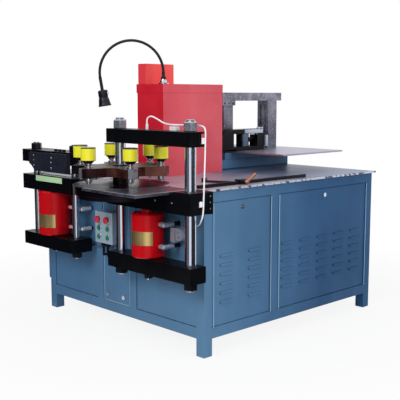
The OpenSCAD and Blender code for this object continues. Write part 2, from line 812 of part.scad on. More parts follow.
// The punch disc: a hub with six tapered arms, and a sleeve down to the die disc
function polar(r, a) = [r * cos(a), r * sin(a)];
function arm_corner(n, side) = [
    arm_r * cos(station_angle(n)) - side * arm_half * sin(station_angle(n)),
    arm_r * sin(station_angle(n)) + side * arm_half * cos(station_angle(n))
];
function station_angle(n) = station_phase + 60 * n;
function station(n) = [turret_x, press_y] + polar(station_r, station_angle(n));

module turret_head() color("saddlebrown") difference() {
    union() {
        translate([turret_x, press_y, head_bottom]) linear_extrude(head_t) polygon([for (n = [0 : 5])
            each [polar(notch_r, station_angle(n) - root_angle), arm_corner(n, -1), arm_corner(n, 1),
                polar(notch_r, station_angle(n) + root_angle)]]);
        bar([turret_x, press_y, disc_top], 44, throat);
        bar([turret_x, press_y, head_top], 46, 6);
    }
    bar([turret_x, press_y, disc_top - 1], column_r + fit, throat + head_t + 10);
    for (n = [0 : 5]) bar(concat(station(n), [head_bottom - 1]), guide_r + fit, head_t + 2);
}

module die_disc() color("dimgray") difference() {
    bar([turret_x, press_y, disc_bottom], disc_r, disc_t);
    bar([turret_x, press_y, disc_bottom - 1], column_r + fit, disc_t + 2);
    for (n = [0 : 5]) {
        bar(concat(station(n), [disc_top - die_h]), die_r, die_h + 8);
        bar(concat(station(n), [disc_bottom - 1]), 18, disc_t);
    }
}

module dies() color("darkgray") for (n = [0 : 5]) difference() {
    bar(concat(station(n), [disc_top - die_h]), die_r, die_h);
    bar(concat(station(n), [disc_top - die_h - 1]), die_holes[n], die_h + 2);
}

// A punch: tip, guide, neck, black cone, yellow pad and black cap, turned as one
module punch(n) color("gold") translate(concat(station(n), [0])) rotate_extrude() polygon([
    [0, nose_z - 10], [die_holes[n] - 0.6, nose_z - 10], [die_holes[n] - 0.6, nose_z],
    [guide_r - 4, nose_z], [guide_r, nose_z + 4], [guide_r, head_top + 8],
    [13, head_top + 10], [13, neck_z - 10], [19, neck_z - 8], [19, neck_z],
    [21, neck_z], [pad_r - 5, pad_z], [pad_r, pad_z], [pad_r, pad_z + pad_h],
    [pad_r - 1, pad_z + pad_h], [pad_r + 0.5, pad_z + pad_h + 2], [pad_r + 0.5, punch_top - 2],
    [pad_r - 2, punch_top], [0, punch_top]]);

module punch_1() punch(0);
module punch_2() punch(1);
module punch_3() punch(2);
module punch_4() punch(3);
module punch_5() punch(4);
module punch_6() punch(5);

// The shearing unit
module shear_body() color("#15171a") difference() {
    union() {
        block([shear_left, shear_front, shear_body_z], [shear_right, shear_back, shear_body_top]);
        block([shear_left + 40, shear_back, shear_body_z], [shear_right - 40, front, shear_body_top - 6]);
    }
    for (x = shear_columns) bar([x, shear_y, shear_body_z - 1], shear_column_r + fit, shear_body_t + 2);
    block([blade_left - 4, blade_y - 1, shear_body_top - 40],
        [blade_right + 4, blade_y + blade_t + 1, shear_body_top + 1]);
}

module shear_lower_tool() color("lightsteelblue") {
    block([shear_left + 196, shear_front + 3, shear_body_top],
        [shear_right, blade_y - 1, shear_body_top + lower_tool_h]);
    block([blade_left - 4, blade_y + blade_t + 1, shear_body_top],
        [blade_right + 4, shear_back - 20, shear_body_top + lower_tool_h]);
}

module shear_cylinder() color("red")
    housing(shear_ram_x, shear_ram_y, shear_cyl_z, shear_cyl_r, shear_cyl_len, 40, 0,
        shear_port_y, shear_ports);

module shear_beam() color("#15171a") difference() {
    union() {
        press_plate([shear_left, shear_front, shear_beam_z],
            [shear_right, shear_back, shear_beam_z + shear_beam_t],
            shear_columns, shear_y, shear_column_r - 4);
        for (x = cap_screws) bar([x, shear_front + 30, shear_beam_z + shear_beam_t], 11, 12);
    }
    for (x = cap_screws) translate([x, shear_front + 30, shear_beam_z + shear_beam_t + 6])
        cylinder(r = 6, h = 7, $fn = 6);
}

module shear_bottom_plate() color("#15171a") difference() {
    block([shear_left, shear_front, shear_bottom_z],
        [shear_right, shear_back, shear_bottom_z + shear_bottom_t]);
    for (n = [0, 1]) bar([shear_columns[n], shear_y, shear_feet[n] - n], shear_column_r - 4 + fit,
        shear_bottom_z + shear_bottom_t + 1 - shear_feet[n]);
    bar([shear_ram_x, shear_ram_y, shear_bottom_z - 1], 16 + fit, shear_bottom_t + 2);
}

module shear_rods() color("gainsboro") {
    r = shear_column_r - 4;
    plate_high = shear_bottom_z + shear_bottom_t;
    stud_top = shear_beam_z + shear_beam_t + shear_nut_h + thread_over;
    for (n = [0, 1]) translate([shear_columns[n], shear_y, 0]) rotate_extrude($fn = 64) polygon([
        [0, shear_feet[n]], [r, shear_feet[n]], [r, plate_high], [shear_column_r, plate_high],
        [shear_column_r, shear_beam_z], [r, shear_beam_z], [r, stud_top], [0, stud_top]]);
    ram(shear_ram_x, shear_ram_y, shear_cyl_z + shear_cyl_len - 30, shear_bottom_z - 28,
        plate_high, shear_cyl_r - 16);
}

module shear_nuts() color("#202020") {
    nuts(shear_columns, shear_y, shear_beam_z + shear_beam_t, 58, shear_nut_h, shear_column_r - 4);
    nuts([shear_columns[1]], shear_y, shear_bottom_z - shear_nut_h, 58, shear_nut_h,
        shear_column_r - 4);
    nuts([shear_ram_x], shear_ram_y, shear_bottom_z - 24, 46, 24, 16);
}

// The upper blade holder: a bolted front plate with a tapered corner, a foot under the beam,
// the blade, and a small cover plate at the right
module shear_upper_tool() color("#1b1d20") difference() {
    union() {
        translate([0, shear_front, 0]) rotate([90, 0, 0]) linear_extrude(holder_t) polygon([
            [holder_left, shear_beam_z + 62], [holder_left, shear_beam_z - 4],
            [holder_left + 30, shear_beam_z - 20], [holder_left + 62, shear_upper_z],
            [shear_right - 4, shear_upper_z], [shear_right, shear_upper_z + 6],
            [shear_right, shear_beam_z + 66]]);
        block([holder_left + 62, shear_front - 1, shear_upper_z],
            [blade_right, blade_y + blade_t, shear_beam_z]);
        block([blade_left, blade_y, shear_upper_z - 3],
            [blade_right, blade_y + blade_t, shear_upper_z + 1]);
        block([shear_right - 130, holder_front - 8, shear_upper_z + 4],
            [shear_right - 6, holder_front + 1, shear_upper_z + 44]);
    }
    for (p = [[54, 44], [54, 14], [54, -17], [243, 37], [243, 11], [243, -23]])
        translate([holder_left + p[0], holder_front - 1, shear_beam_z + p[1]]) rotate([-90, 0, 0])
            cylinder(r = 7, h = 9);
}

// Control box on two brackets, with two stop and four start buttons and two glands
module control_box() color("lightgray") difference() {
    union() {
        block([box_x, box_y - box_d, box_z], [box_x + box_w, box_y - 3, box_z + box_h]);
        for (z = [box_z + 16, box_z + box_h - 32])
            block([box_x + 20, box_y - 4, z], [box_x + box_w - 20, panel_face, z + 16]);
        for (x = gland_x) bar([x, gland_y, box_z - gland_h], 11, gland_h);
    }
    block([box_x + 3, box_y - box_d + 3, box_z + 3], [box_x + box_w - 3, box_y - 6, box_z + box_h - 3]);
    for (x = button_columns, z = concat([stop_row], start_rows))
        translate([x, box_y - box_d - 1, z]) rotate([-90, 0, 0]) cylinder(r = stem_r + fit, h = 6);
}

// A mushroom button that travels 5 mm
module stop_button(x) color("red") translate([x, box_y - box_d, stop_row]) rotate([90, 0, 0])
    rotate_extrude() polygon([
        [0, -20], [stem_r, -20], [stem_r, 8], [14, 12], [20, 14], [20, 20], [17, 24], [10, 26],
        [0, 27]]);
module stop_button_1() stop_button(button_columns[0]);
module stop_button_2() stop_button(button_columns[1]);

// A flat push button that travels 4 mm
module start_button(x, z) color("green") translate([x, box_y - box_d, z]) rotate([90, 0, 0])
    rotate_extrude() polygon([
        [0, -20], [stem_r, -20], [stem_r, 4.5], [14, 4.5], [14, 9], [13, 10], [0, 10]]);
module start_button_1() start_button(button_columns[0], start_rows[0]);
module start_button_2() start_button(button_columns[1], start_rows[0]);
module start_button_3() start_button(button_columns[0], start_rows[1]);
module start_button_4() start_button(button_columns[1], start_rows[1]);

// A stub from the port, an elbow ball, and a long crimped sleeve that turns back to the cabinet
module hydraulic_fittings() color("silver") {
    for (p = ports) {
        translate([p[0], p[1], p[2]]) rotate([0, 90, 0]) cylinder(r = 11, h = p[3] - p[0]);
        translate([p[3] - 24, p[1], p[2]]) rotate([0, 90, 0]) cylinder(r = 15, h = 12, $fn = 6);
        translate([p[3], p[1], p[2]]) sphere(r = 14);
        translate([p[3], p[1] + 8, p[2]]) rotate([-90, 0, 0]) cylinder(r = 14.5, h = 12, $fn = 6);
        translate([p[3], p[1], p[2]]) rotate([-90, 0, 0]) cylinder(r = 12.5, h = crimp_len);
    }
    relief_valve();
}

// A relief valve on the right front panel: a grey block, its round cap and a lock nut
module relief_valve() translate([valve_at[0], panel_face, valve_at[1]]) {
    translate([-52, -60, -42]) cube([34, 60, 76]);
    translate([-24, -46, -20]) cube([30, 46, 40]);
    rotate([90, 0, 0]) cylinder(r = valve_r, h = 52);
    rotate([90, 0, 0]) cylinder(r = valve_r + 5, h = 20);
    rotate([90, 0, 0]) cylinder(r = 14, h = 60);
}

// Hoses into the cabinet, and the two leads that turn in under the control box
module hydraulic_hoses() color("#181818") {
    for (p = ports) translate([p[3], p[1] + crimp_len, p[2]]) rotate([-90, 0, 0])
        cylinder(r = hose_r, h = front - p[1] - crimp_len + leg);
    for (x = gland_x) {
        bar([x, gland_y, lead_z], lead_r, box_z - gland_h - lead_z);
        translate([x, gland_y, lead_z]) sphere(r = lead_r);
        translate([x, gland_y, lead_z]) rotate([-90, 0, 0])
            cylinder(r = lead_r, h = leg + front - gland_y);
    }
}

// Sensor cable: a smooth sweep along its route
function between(a, b, c, d, t) = 0.5 * (2 * b + (c - a) * t + (2 * a - 5 * b + 4 * c - d) * t * t
    + (3 * b - a - 3 * c + d) * t * t * t);
function route(p, steps) = let (n = len(p)) [
    for (i = [0 : n - 2], s = [0 : steps - 1])
        between(p[max(i - 1, 0)], p[i], p[i + 1], p[min(i + 2, n - 1)], s / steps),
    p[n - 1]
];
function unit(v) = v / norm(v);
function tangents(p) = let (n = len(p)) [
    for (i = [0 : n - 1]) unit(p[min(i + 1, n - 1)] - p[max(i - 1, 0)])
];
function normals(t) = [
    for (i = 0, v = unit(cross(t[0], [0, 1, 0])); i < len(t);
        i = i + 1, v = i < len(t) ? unit(v - (v * t[i]) * t[i]) : v) v
];

// A round tube along points, each ring square to the route
module tube(points, r, sides) {
    p = points;
    t = tangents(p);
    v = normals(t);
    n = len(p);
    rings = [for (i = [0 : n - 1], k = [0 : sides - 1]) let (w = cross(t[i], v[i]), a = 360 * k / sides)
        p[i] + r * (cos(a) * v[i] + sin(a) * w)];
    walls = [for (i = [0 : n - 2], k = [0 : sides - 1]) let (m = (k + 1) % sides)
        [i * sides + k, i * sides + m, (i + 1) * sides + m, (i + 1) * sides + k]];
    ends = [[for (k = [0 : sides - 1]) sides - 1 - k], [for (k = [0 : sides - 1]) (n - 1) * sides + k]];
    polyhedron(points = rings, faces = concat(ends, walls));
}

module sensor_cable() color("white")
    tube(route([for (p = cable_points) p + [0, 0, table_h]], 2), cable_r, 8);

// Plug, saddle and end clip of the cable, on the top beam
module cable_clips() color("white") {
    translate([ram_x, press_y, beam_top]) cylinder(r = 7, h = 29);
    block([ram_x + 165, press_y + 10, beam_top], [ram_x + 217, press_y + 34, beam_top + 20]);
    block([press_right, press_y + 20, beam_top - 60], [press_right + 6, press_y + 37.5, beam_top - 30]);
}

// The raised table: a low box with a step along its front and left side
module rear_riser() color("slategray") difference() {
    union() {
        block([riser_left, riser_apron, table_h], [riser_right, riser_back, riser_step]);
        block([riser_left + 14, riser_front, riser_step], [riser_right - 6, riser_back, riser_top]);
    }
    hollow([riser_left, riser_apron, table_h - 2 * tube_t], [riser_right, riser_back, riser_step]);
    hollow([riser_left + 14, riser_front, table_h], [riser_right - 6, riser_back, riser_top]);
}

module rear_plate() color("lightsteelblue")
    block([riser_left, riser_front + 50, riser_top], [plate_right, plate_back, rear_top]);

// The portal: two uprights, a beam that runs on past the back one, and a bolted end plate
module portal_frame() color("gray") difference() {
    union() {
        for (y = [upright_front, upright_back])
            block([portal_left, y, rear_top], [portal_right, y + upright_d, portal_top - 44]);
        block([portal_left + 10, upright_front, portal_top - portal_beam_h],
            [portal_right - 8, upright_back + upright_d + 58, portal_top]);
        block([portal_right - 40, upright_front - 30, portal_top - 84],
            [portal_right + 20, upright_front + 90, portal_top - 9]);
    }
    for (n = [0 : 2]) translate([portal_right + 21, upright_front - 8 + n * 38, portal_top - 72])
        rotate([0, -90, 0]) cylinder(r = 7, h = 30);
    for (n = [0 : 1]) block([portal_left + 16 + n * 44, upright_back - 1, rear_top + 40],
        [portal_left + 40 + n * 44, upright_back + 12, portal_top - 80]);
}

// The bending tool's frame: a tapered anvil block, and two bars over and under an open window
module bender_frame() color("#15171a") difference() {
    translate([bender_right, 0, 0]) rotate([90, 0, -90]) linear_extrude(bender_w) polygon([
        [-bender_front, rear_top + 12], [-bender_front, rear_top + 92],
        [-window_front - 4, rear_top + bender_h], [-bender_back, rear_top + bender_h],
        [-bender_back, rear_top], [-riser_front - 54, rear_top], [-riser_front - 54, rear_top + 12]]);
    block([bender_left - 1, window_front, bender_low], [bender_right + 1, window_back, bender_high]);
    block([bender_left + 14 - gap, window_back - 1, bender_low],
        [bender_right - 14 + gap, bender_back + 1, bender_high]);
    block([bender_right - 30, window_back + 50, rear_top + 46],
        [bender_right + 1, window_back + 110, rear_top + 96]);
}

// The anvil's die, with a V groove
module bender_die() color("silver") difference() {
    block([bender_left + 6, window_front, bender_low],
        [bender_right - 6, window_front + 12, bender_high]);
    translate([bender_x, window_front + 12, rear_top]) rotate([0, 0, 45])
        translate([-6, -6, 0]) cube([12, 12, bender_h]);
}

// The ram slides between the bars and carries the bending nose
module bender_ram() color("dimgray") {
    block([bender_left + 14, ram_front, bender_low + gap],
        [bender_right - 14, ram_front + 60, bender_high - gap]);
    translate([bender_x, ram_front, rear_top + 40]) linear_extrude(bender_h - 80)
        polygon([[-9, 0.5], [-3, -16], [3, -16], [9, 0.5]]);
    translate([bender_x, ram_front + 60, ram_z]) rotate([-90, 0, 0])
        cylinder(r = ram_r, h = rod_end - ram_front - 60);
}

module bender_cylinder() color("#202326") difference() {
    block([bender_left + 14, bender_back - 62, bender_low],
        [bender_right - 14, bender_back + 60, bender_high]);
    translate([bender_x, bender_back - 63, ram_z]) rotate([-90, 0, 0])
        cylinder(r = ram_r + fit, h = 120);
}

cabinet_frame();
fixed_panels();
front_cover();
side_cover_front();
side_cover_back();
cover_locks();
table_top();
oil_tank();
pump_motor();
valve_block();
electric_cabinet();
electric_cabinet_top();
lamp_base();
lamp_arm();
lamp_head();
guide_rail();
stop_clamp();
clamp_lever();
punch_body();
work_plate();
punch_cylinder();
punch_beam();
punch_bottom_plate();
punch_rods();
punch_nuts();
turret_head();
die_disc();
dies();
punch_1();
punch_2();
punch_3();
punch_4();
punch_5();
punch_6();
shear_body();
shear_lower_tool();
shear_cylinder();
shear_beam();
shear_bottom_plate();
shear_rods();
shear_nuts();
shear_upper_tool();
control_box();
stop_button_1();
stop_button_2();
start_button_1();
start_button_2();
start_button_3();
start_button_4();
hydraulic_fittings();
hydraulic_hoses();
sensor_cable();
cable_clips();
rear_riser();
rear_plate();
portal_frame();
bender_frame();
bender_cylinder();
bender_ram();
bender_die();
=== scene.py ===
"""The looks of a busbar processing machine: finishes, bevelled pieces, small details, camera and light."""
import json
import math

import bpy
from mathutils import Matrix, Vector

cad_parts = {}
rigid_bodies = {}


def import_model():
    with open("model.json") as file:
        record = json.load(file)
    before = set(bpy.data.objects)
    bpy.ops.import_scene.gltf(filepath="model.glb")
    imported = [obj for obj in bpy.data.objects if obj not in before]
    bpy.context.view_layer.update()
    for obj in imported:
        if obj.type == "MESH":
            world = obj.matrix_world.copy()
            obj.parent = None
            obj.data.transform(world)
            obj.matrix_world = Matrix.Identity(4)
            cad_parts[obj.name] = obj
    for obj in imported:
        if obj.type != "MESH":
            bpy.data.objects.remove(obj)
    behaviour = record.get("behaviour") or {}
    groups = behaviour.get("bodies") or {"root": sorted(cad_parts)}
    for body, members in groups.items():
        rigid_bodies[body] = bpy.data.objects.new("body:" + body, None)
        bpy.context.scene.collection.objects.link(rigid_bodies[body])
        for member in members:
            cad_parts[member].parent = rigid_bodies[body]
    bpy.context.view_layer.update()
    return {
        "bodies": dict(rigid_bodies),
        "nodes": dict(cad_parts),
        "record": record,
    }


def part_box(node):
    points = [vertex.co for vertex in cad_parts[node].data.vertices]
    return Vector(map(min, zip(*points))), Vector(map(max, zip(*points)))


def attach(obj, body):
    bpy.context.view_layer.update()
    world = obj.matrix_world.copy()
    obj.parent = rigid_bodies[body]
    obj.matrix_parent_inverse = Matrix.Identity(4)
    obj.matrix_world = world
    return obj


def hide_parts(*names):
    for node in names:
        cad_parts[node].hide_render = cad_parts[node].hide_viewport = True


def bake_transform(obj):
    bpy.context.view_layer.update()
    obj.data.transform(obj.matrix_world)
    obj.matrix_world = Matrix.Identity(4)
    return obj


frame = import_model()
nodes = frame["nodes"]
body_of = {}
for body_name, empty in frame["bodies"].items():
    for child in empty.children:
        body_of[child.name] = body_name
slot_of = {s["node"]: s["material_slot"] for s in frame["record"]["subparts"]}


# ---------------------------------------------------------------- places, from the frame
def middle(name):
    """The middle of a CAD node's box."""
    low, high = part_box(name)
    return (low + high) / 2


TABLE_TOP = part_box("table_top")[1].z

# The punching unit and the shearing unit: radii of the cylinders and of the shear's columns, and the
# distance from the turret's axis to its punches
PUNCH_CYLINDER_R, SHEAR_CYLINDER_R, SHEAR_COLUMN_R, STATION_RADIUS = 0.088, 0.099, 0.022, 0.230
HUB = middle("turret_head")
PUNCH_RIGHT_X = 2 * middle("punch_rods").x - HUB.x
PUNCH_RAM_X = HUB.x + STATION_RADIUS
SHEAR_Y = middle("shear_rods").y
SHEAR_LEFT_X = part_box("shear_rods")[0].x + SHEAR_COLUMN_R
SHEAR_RIGHT_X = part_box("shear_rods")[1].x - SHEAR_COLUMN_R
SHEAR_RAM_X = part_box("shear_cylinder")[0].x + SHEAR_CYLINDER_R

# The bending ram's nose: its middle, at its front
NOSE = Vector((middle("bender_ram").x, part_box("bender_ram")[0].y - 0.0033, middle("bender_ram").z))

# The lamp: where its foot stands, the radii of its arm's bend and of the arm, how far the arm rises
# before the bend and drops after it, then in degrees how far its end leans and where its bend heads
LAMP_FOOT = (*middle("lamp_base").xy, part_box("lamp_base")[1].z)
BEND, ARM_RADIUS, RISE, DROP = 0.188, 0.008, 0.033, 0.080
LEAN, HEADING = 9, 226.4


# ---------------------------------------------------------------- colours
WHITE = (1, 1, 1, 1)


def srgb(red, green, blue):
    """A colour in 0 to 255, as seen on a screen, turned into linear light."""
    def linear(v):
        v /= 255
        return v / 12.92 if v <= 0.04045 else ((v + 0.055) / 1.055) ** 2.4
    return (linear(red), linear(green), linear(blue), 1)


# ---------------------------------------------------------------- shader maths
class Value:
    """A number or colour that leaves a node, with the arithmetic of shader maths."""

    def __init__(self, finish, socket):
        self.finish, self.socket = finish, socket

    def maths(self, operation, *others):
        return self.finish.node("ShaderNodeMath", {"operation": operation}, dict(enumerate(others)))

    def __add__(self, other):
        return self.maths("ADD", self, other)

    def __sub__(self, other):
        return self.maths("SUBTRACT", self, other)

    def __rsub__(self, other):
        return self.maths("SUBTRACT", other, self)

    def __mul__(self, other):
        return self.maths("MULTIPLY", self, other)

    def __gt__(self, other):
        return self.maths("GREATER_THAN", self, other)

    def __lt__(self, other):
        return self.maths("LESS_THAN", self, other)

    __radd__, __rmul__ = __add__, __mul__

    def least(self, other):
        return self.maths("MINIMUM", self, other)

    def most(self, other):
        return self.maths("MAXIMUM", self, other)

    def root(self):
        return self.maths("SQRT", self)

    def ramp(self, low, high):
        """0 below low and 1 above high, straight between them. Low may be the larger."""
        return self.finish.node("ShaderNodeMapRange", {"clamp": True},
                                {"Value": self, "From Min": low, "From Max": high})


class Finish:
    """A material for one kind of surface."""

    def __init__(self, name, colour=(0.5, 0.5, 0.5, 1), roughness=0.5, metallic=0.0, coat=0.0):
        self.material = bpy.data.materials.new(name)
        self.material.use_nodes = True
        self.tree = self.material.node_tree
        self.tree.nodes.clear()
        output = self.tree.nodes.new("ShaderNodeOutputMaterial")
        self.shader = self.tree.nodes.new("ShaderNodeBsdfPrincipled")
        self.tree.links.new(self.shader.outputs[0], output.inputs[0])
        self.set("Base Color", colour)
        self.set("Roughness", roughness)
        self.set("Metallic", metallic)
        self.set("Coat Weight", coat)
        self.material.diffuse_color = colour if isinstance(colour, tuple) else (0.5, 0.5, 0.5, 1)
        self.place = self.node("ShaderNodeTexCoord", out="Object")
        split = self.node("ShaderNodeSeparateXYZ", sockets={0: self.place})
        self.x, self.y, self.z = (self.out(split, i) for i in range(3))

    def node(self, kind, settings=None, sockets=None, out=0):
        made = self.tree.nodes.new(kind)
        for key, value in (settings or {}).items():
            setattr(made, key, value)
        for key, value in (sockets or {}).items():
            self.join(made.inputs[key], value)
        return Value(self, made.outputs[out])

    def join(self, target, value):
        if isinstance(value, Value):
            self.tree.links.new(value.socket, target)
        else:
            target.default_value = value

    def out(self, value, index):
        return Value(self, value.socket.node.outputs[index])

    def set(self, name, value):
        self.join(self.shader.inputs[name], value)

    def normal(self):
        """The surface's own direction, as x, y and z."""
        split = self.node("ShaderNodeSeparateXYZ", sockets={0: self.node("ShaderNodeTexCoord", out="Normal")})
        return [self.out(split, i) for i in range(3)]

    def noise(self, scale, detail=4.0, stretch=(1, 1, 1), rough=0.55):
        where = self.node("ShaderNodeVectorMath", {"operation": "MULTIPLY"}, {0: self.place, 1: stretch})
        return self.node("ShaderNodeTexNoise", {}, {"Vector": where, "Scale": scale, "Detail": detail,
                                                    "Roughness": rough})

    def mix(self, share, first, second):
        return self.node("ShaderNodeMix", {"data_type": "RGBA"}, {0: share, 6: first, 7: second}, out=2)

    def bump(self, height, distance, strength=1.0):
        self.set("Normal", self.node("ShaderNodeBump", {}, {"Height": height, "Distance": distance,
                                                            "Strength": strength}))


def shade(colour, factor):
    """A colour made darker or lighter."""
    return tuple(min(1, c * factor) for c in colour[:3]) + (1,)


def paint(name, colour, roughness=0.4, coat=0.0, worn=0.12, gloss=0.5):
    """Sprayed paint: slightly uneven in colour and gloss, with a fine orange peel."""
    f = Finish(name, colour, roughness, coat=coat)
    f.set("Specular IOR Level", gloss)
    broad = f.noise(2.6, 3)
    fine = f.noise(38, 3)
    cloud = broad.ramp(0.35, 0.7) * 0.6 + fine.ramp(0.4, 0.7) * 0.4
    f.set("Base Color", f.mix(cloud, shade(colour, 1 - worn), shade(colour, 1 + worn)))
    f.set("Roughness", f.noise(9, 4).ramp(0.3, 0.7) * 0.14 + (roughness - 0.07))
    f.bump(f.noise(420, 2), 0.0002, 0.25)
    return f


def steel(name, colour, roughness=0.3, stretch=(1, 1, 1), streaks=0.12, metallic=1.0):
    """Bare metal with fine streaks along the direction that stretch leaves small."""
    f = Finish(name, colour, roughness, metallic)
    lines = f.noise(130, 3, stretch)
    cloud = f.noise(6, 4)
    f.set("Base Color", f.mix(cloud.ramp(0.3, 0.72), shade(colour, 0.86), shade(colour, 1.1)))
    f.set("Roughness", lines.ramp(0.3, 0.7) * streaks + cloud.ramp(0.35, 0.7) * 0.08 + (roughness - 0.08))
    f.bump(lines, 0.0001, 0.1)
    return f


def weathered(name):
    """Grey coat worn through in specks and darker towards its lower ends."""
    f = Finish(name, srgb(126, 126, 140), 0.5, 0.25)
    blotch = f.noise(9, 6)
    specks = f.noise(90, 4).ramp(0.56, 0.66)
    streaks = f.noise(30, 5, (1, 1, 0.15)).ramp(0.45, 0.7)
    tone = f.mix(blotch.ramp(0.35, 0.65), srgb(96, 96, 110), srgb(156, 156, 172))
    tone = f.mix(streaks * 0.4, tone, srgb(70, 68, 78))
    low_end = f.z.ramp(1.28, 1.14)
    tone = f.mix(low_end * 0.6, tone, srgb(50, 54, 78))
    f.set("Base Color", f.mix(specks * 0.6, tone, srgb(190, 190, 200)))
    f.set("Roughness", blotch * 0.3 + 0.3)
    f.bump(blotch, 0.0004, 0.3)
    return f


def cabinet_finish():
    """Blue coat on frame and covers, in painted light and shade: lighter near the front right corner and
    deeper away from it.
    """
    f = paint("cabinet blue", srgb(80, 118, 152), 0.42, gloss=0.2)
    above_table = f.z > TABLE_TOP + 0.01
    # Painted shade: the blue darkens away from the front right corner, much less above the table.
    away = (f.y - f.x * 0.3).ramp(-0.1, 0.95) * (1 - above_table * 0.7)
    broad = f.noise(2.2, 4)
    streak = f.noise(7, 3, (1, 1, 0.12))
    cloud = broad.ramp(0.35, 0.68) * 0.7 + streak.ramp(0.45, 0.7) * 0.3
    # Painted light and shade: near is the lit tone of the blue, far the shaded tone.
    near = f.mix(cloud, srgb(82, 121, 154), srgb(94, 134, 170))
    far = f.mix(cloud, srgb(24, 68, 108), srgb(36, 82, 124))
    f.set("Base Color", f.mix(away, near, far))
    return f


def cabinet_red_finish():
    """Red coat: deep on the faces that look to the front, with a painted sheen that makes those that look to
    the right lighter and pinker.
    """
    f = paint("cabinet red", srgb(190, 28, 46), 0.34, coat=0.3, gloss=0.25)
    # Painted sheen: faces that look to the right take a lighter, pinker red, standing for the light that
    # falls on that side.
    side = f.normal()[0].ramp(0.5, 0.85)
    cloud = f.noise(3.5, 4).ramp(0.35, 0.68)
    front = f.mix(cloud, srgb(196, 16, 38), srgb(214, 30, 50))
    sheen_side = f.mix(cloud, srgb(204, 74, 86), srgb(220, 90, 102))
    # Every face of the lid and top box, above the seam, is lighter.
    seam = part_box("electric_cabinet")[1].z + 0.005
    lid = f.z.ramp(seam - 0.002, seam + 0.002)
    sheen_side = f.mix(lid, sheen_side, srgb(242, 84, 84))
    front = f.mix(lid, front, srgb(226, 58, 70))
    f.set("Base Color", f.mix(side, front, sheen_side))
    return f


def table_finish():
    """Worn steel plate: pale and clouded, with a painted blue reflection and shade that darkens it towards
    the back, and a bright edge that is chipped dark in places.
    """
    f = Finish("table steel", srgb(150, 156, 176), 0.4, 0.35)
    low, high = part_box("table_top")
    near = (f.x - low.x).least(high.x - f.x).least((f.y - low.y).least(high.y - f.y))
    cloud = f.noise(3.2, 5)
    top = f.normal()[2].ramp(0.5, 0.9)
    chips = f.noise(26, 5).ramp(0.52, 0.56)
    rim = near.ramp(0.011, 0.008)
    # Painted reflection and shade: towards the back the plate turns a darker blue, as if mirroring the blue
    # riser and cabinet.
    back = (f.y + f.noise(2.4, 3) * 0.3).ramp(0.35, 0.95) * 0.9
    front = f.mix(cloud.ramp(0.35, 0.7), srgb(186, 178, 194), srgb(208, 200, 214))
    base = f.mix(back, front, f.mix(cloud.ramp(0.35, 0.7), srgb(88, 102, 134), srgb(128, 142, 172)))
    edge = f.mix(chips, srgb(196, 202, 218), srgb(64, 74, 102))
    f.set("Base Color", f.mix(rim.most(1 - top), base, edge))
    f.set("Roughness", cloud.ramp(0.3, 0.7) * 0.14 + 0.32)
    f.bump(f.noise(160, 4), 0.0002, 0.2)
    return f


def turret_finish():
    """Browned steel with rust blotches, in painted shade and light: violet black to the left and front, rusty
    brown to the right and at the far left, with painted highlights on two arms' end faces.
    """
    f = Finish("browned steel", srgb(60, 38, 36), 0.3)
    dx, dy = f.x - HUB.x, f.y - HUB.y
    top = f.normal()[2].ramp(0.6, 0.9)
    rust = f.noise(9, 5).ramp(0.3, 0.62)
    # Painted light and shade: the arms' sides are lighter brown to the right and at the far left, darker
    # violet black between.
    right = dx.ramp(0.03, 0.1).most(dx.ramp(-0.22, -0.25))
    violet = f.mix(rust, srgb(12, 8, 15), srgb(44, 26, 32))
    brown = f.mix(rust, srgb(58, 32, 32), srgb(112, 66, 56))
    side = f.mix(right, violet, brown)
    ground = f.mix(f.noise(7, 4).ramp(0.35, 0.65), srgb(30, 23, 30), srgb(76, 62, 70))
    # Painted highlight: the end faces of the front and right arms are painted pale, as if catching the light.
    front_end = (dy < -0.235) * (dx > -0.02).least(dx < 0.012)
    right_end = (dx > 0.232) * (dy > -0.14).least(dy < -0.085)
    painted_glint = (front_end + right_end) * (1 - top) * (f.noise(30, 4).ramp(0.3, 0.5) * 0.5 + 0.4)
    f.set("Base Color", f.mix(painted_glint, f.mix(top, side, ground), srgb(178, 178, 190)))
    f.set("Metallic", 0.75 - top * 0.45)
    f.set("Roughness", f.noise(40, 3) * 0.16 + top * 0.16 + 0.18)
    return f


CONE_FOOT, PAD_FOOT, PAD_TOP = 0.108, 0.1262, 0.1882  # heights over a punch's tip


def punch_finish(name):
    """The bands of a punch from tip to cap: steel, black cone, yellow pad and black cap."""
    f = Finish(name + " bands", srgb(180, 180, 186), 0.25, 1)
    up = f.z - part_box(name)[0].z
    cone = (up > CONE_FOOT).least(up < PAD_FOOT)
    pad = (up > PAD_FOOT).least(up < PAD_TOP)
    cap = up > PAD_TOP
    dark = cone.most(cap)
    f.set("Base Color", f.mix(pad, f.mix(dark, srgb(190, 190, 196), srgb(14, 14, 18)), srgb(224, 218, 40)))
    f.set("Metallic", 1 - pad.most(dark))
    f.set("Roughness", 0.24)
    f.set("Coat Weight", pad * 0.3)
    return f


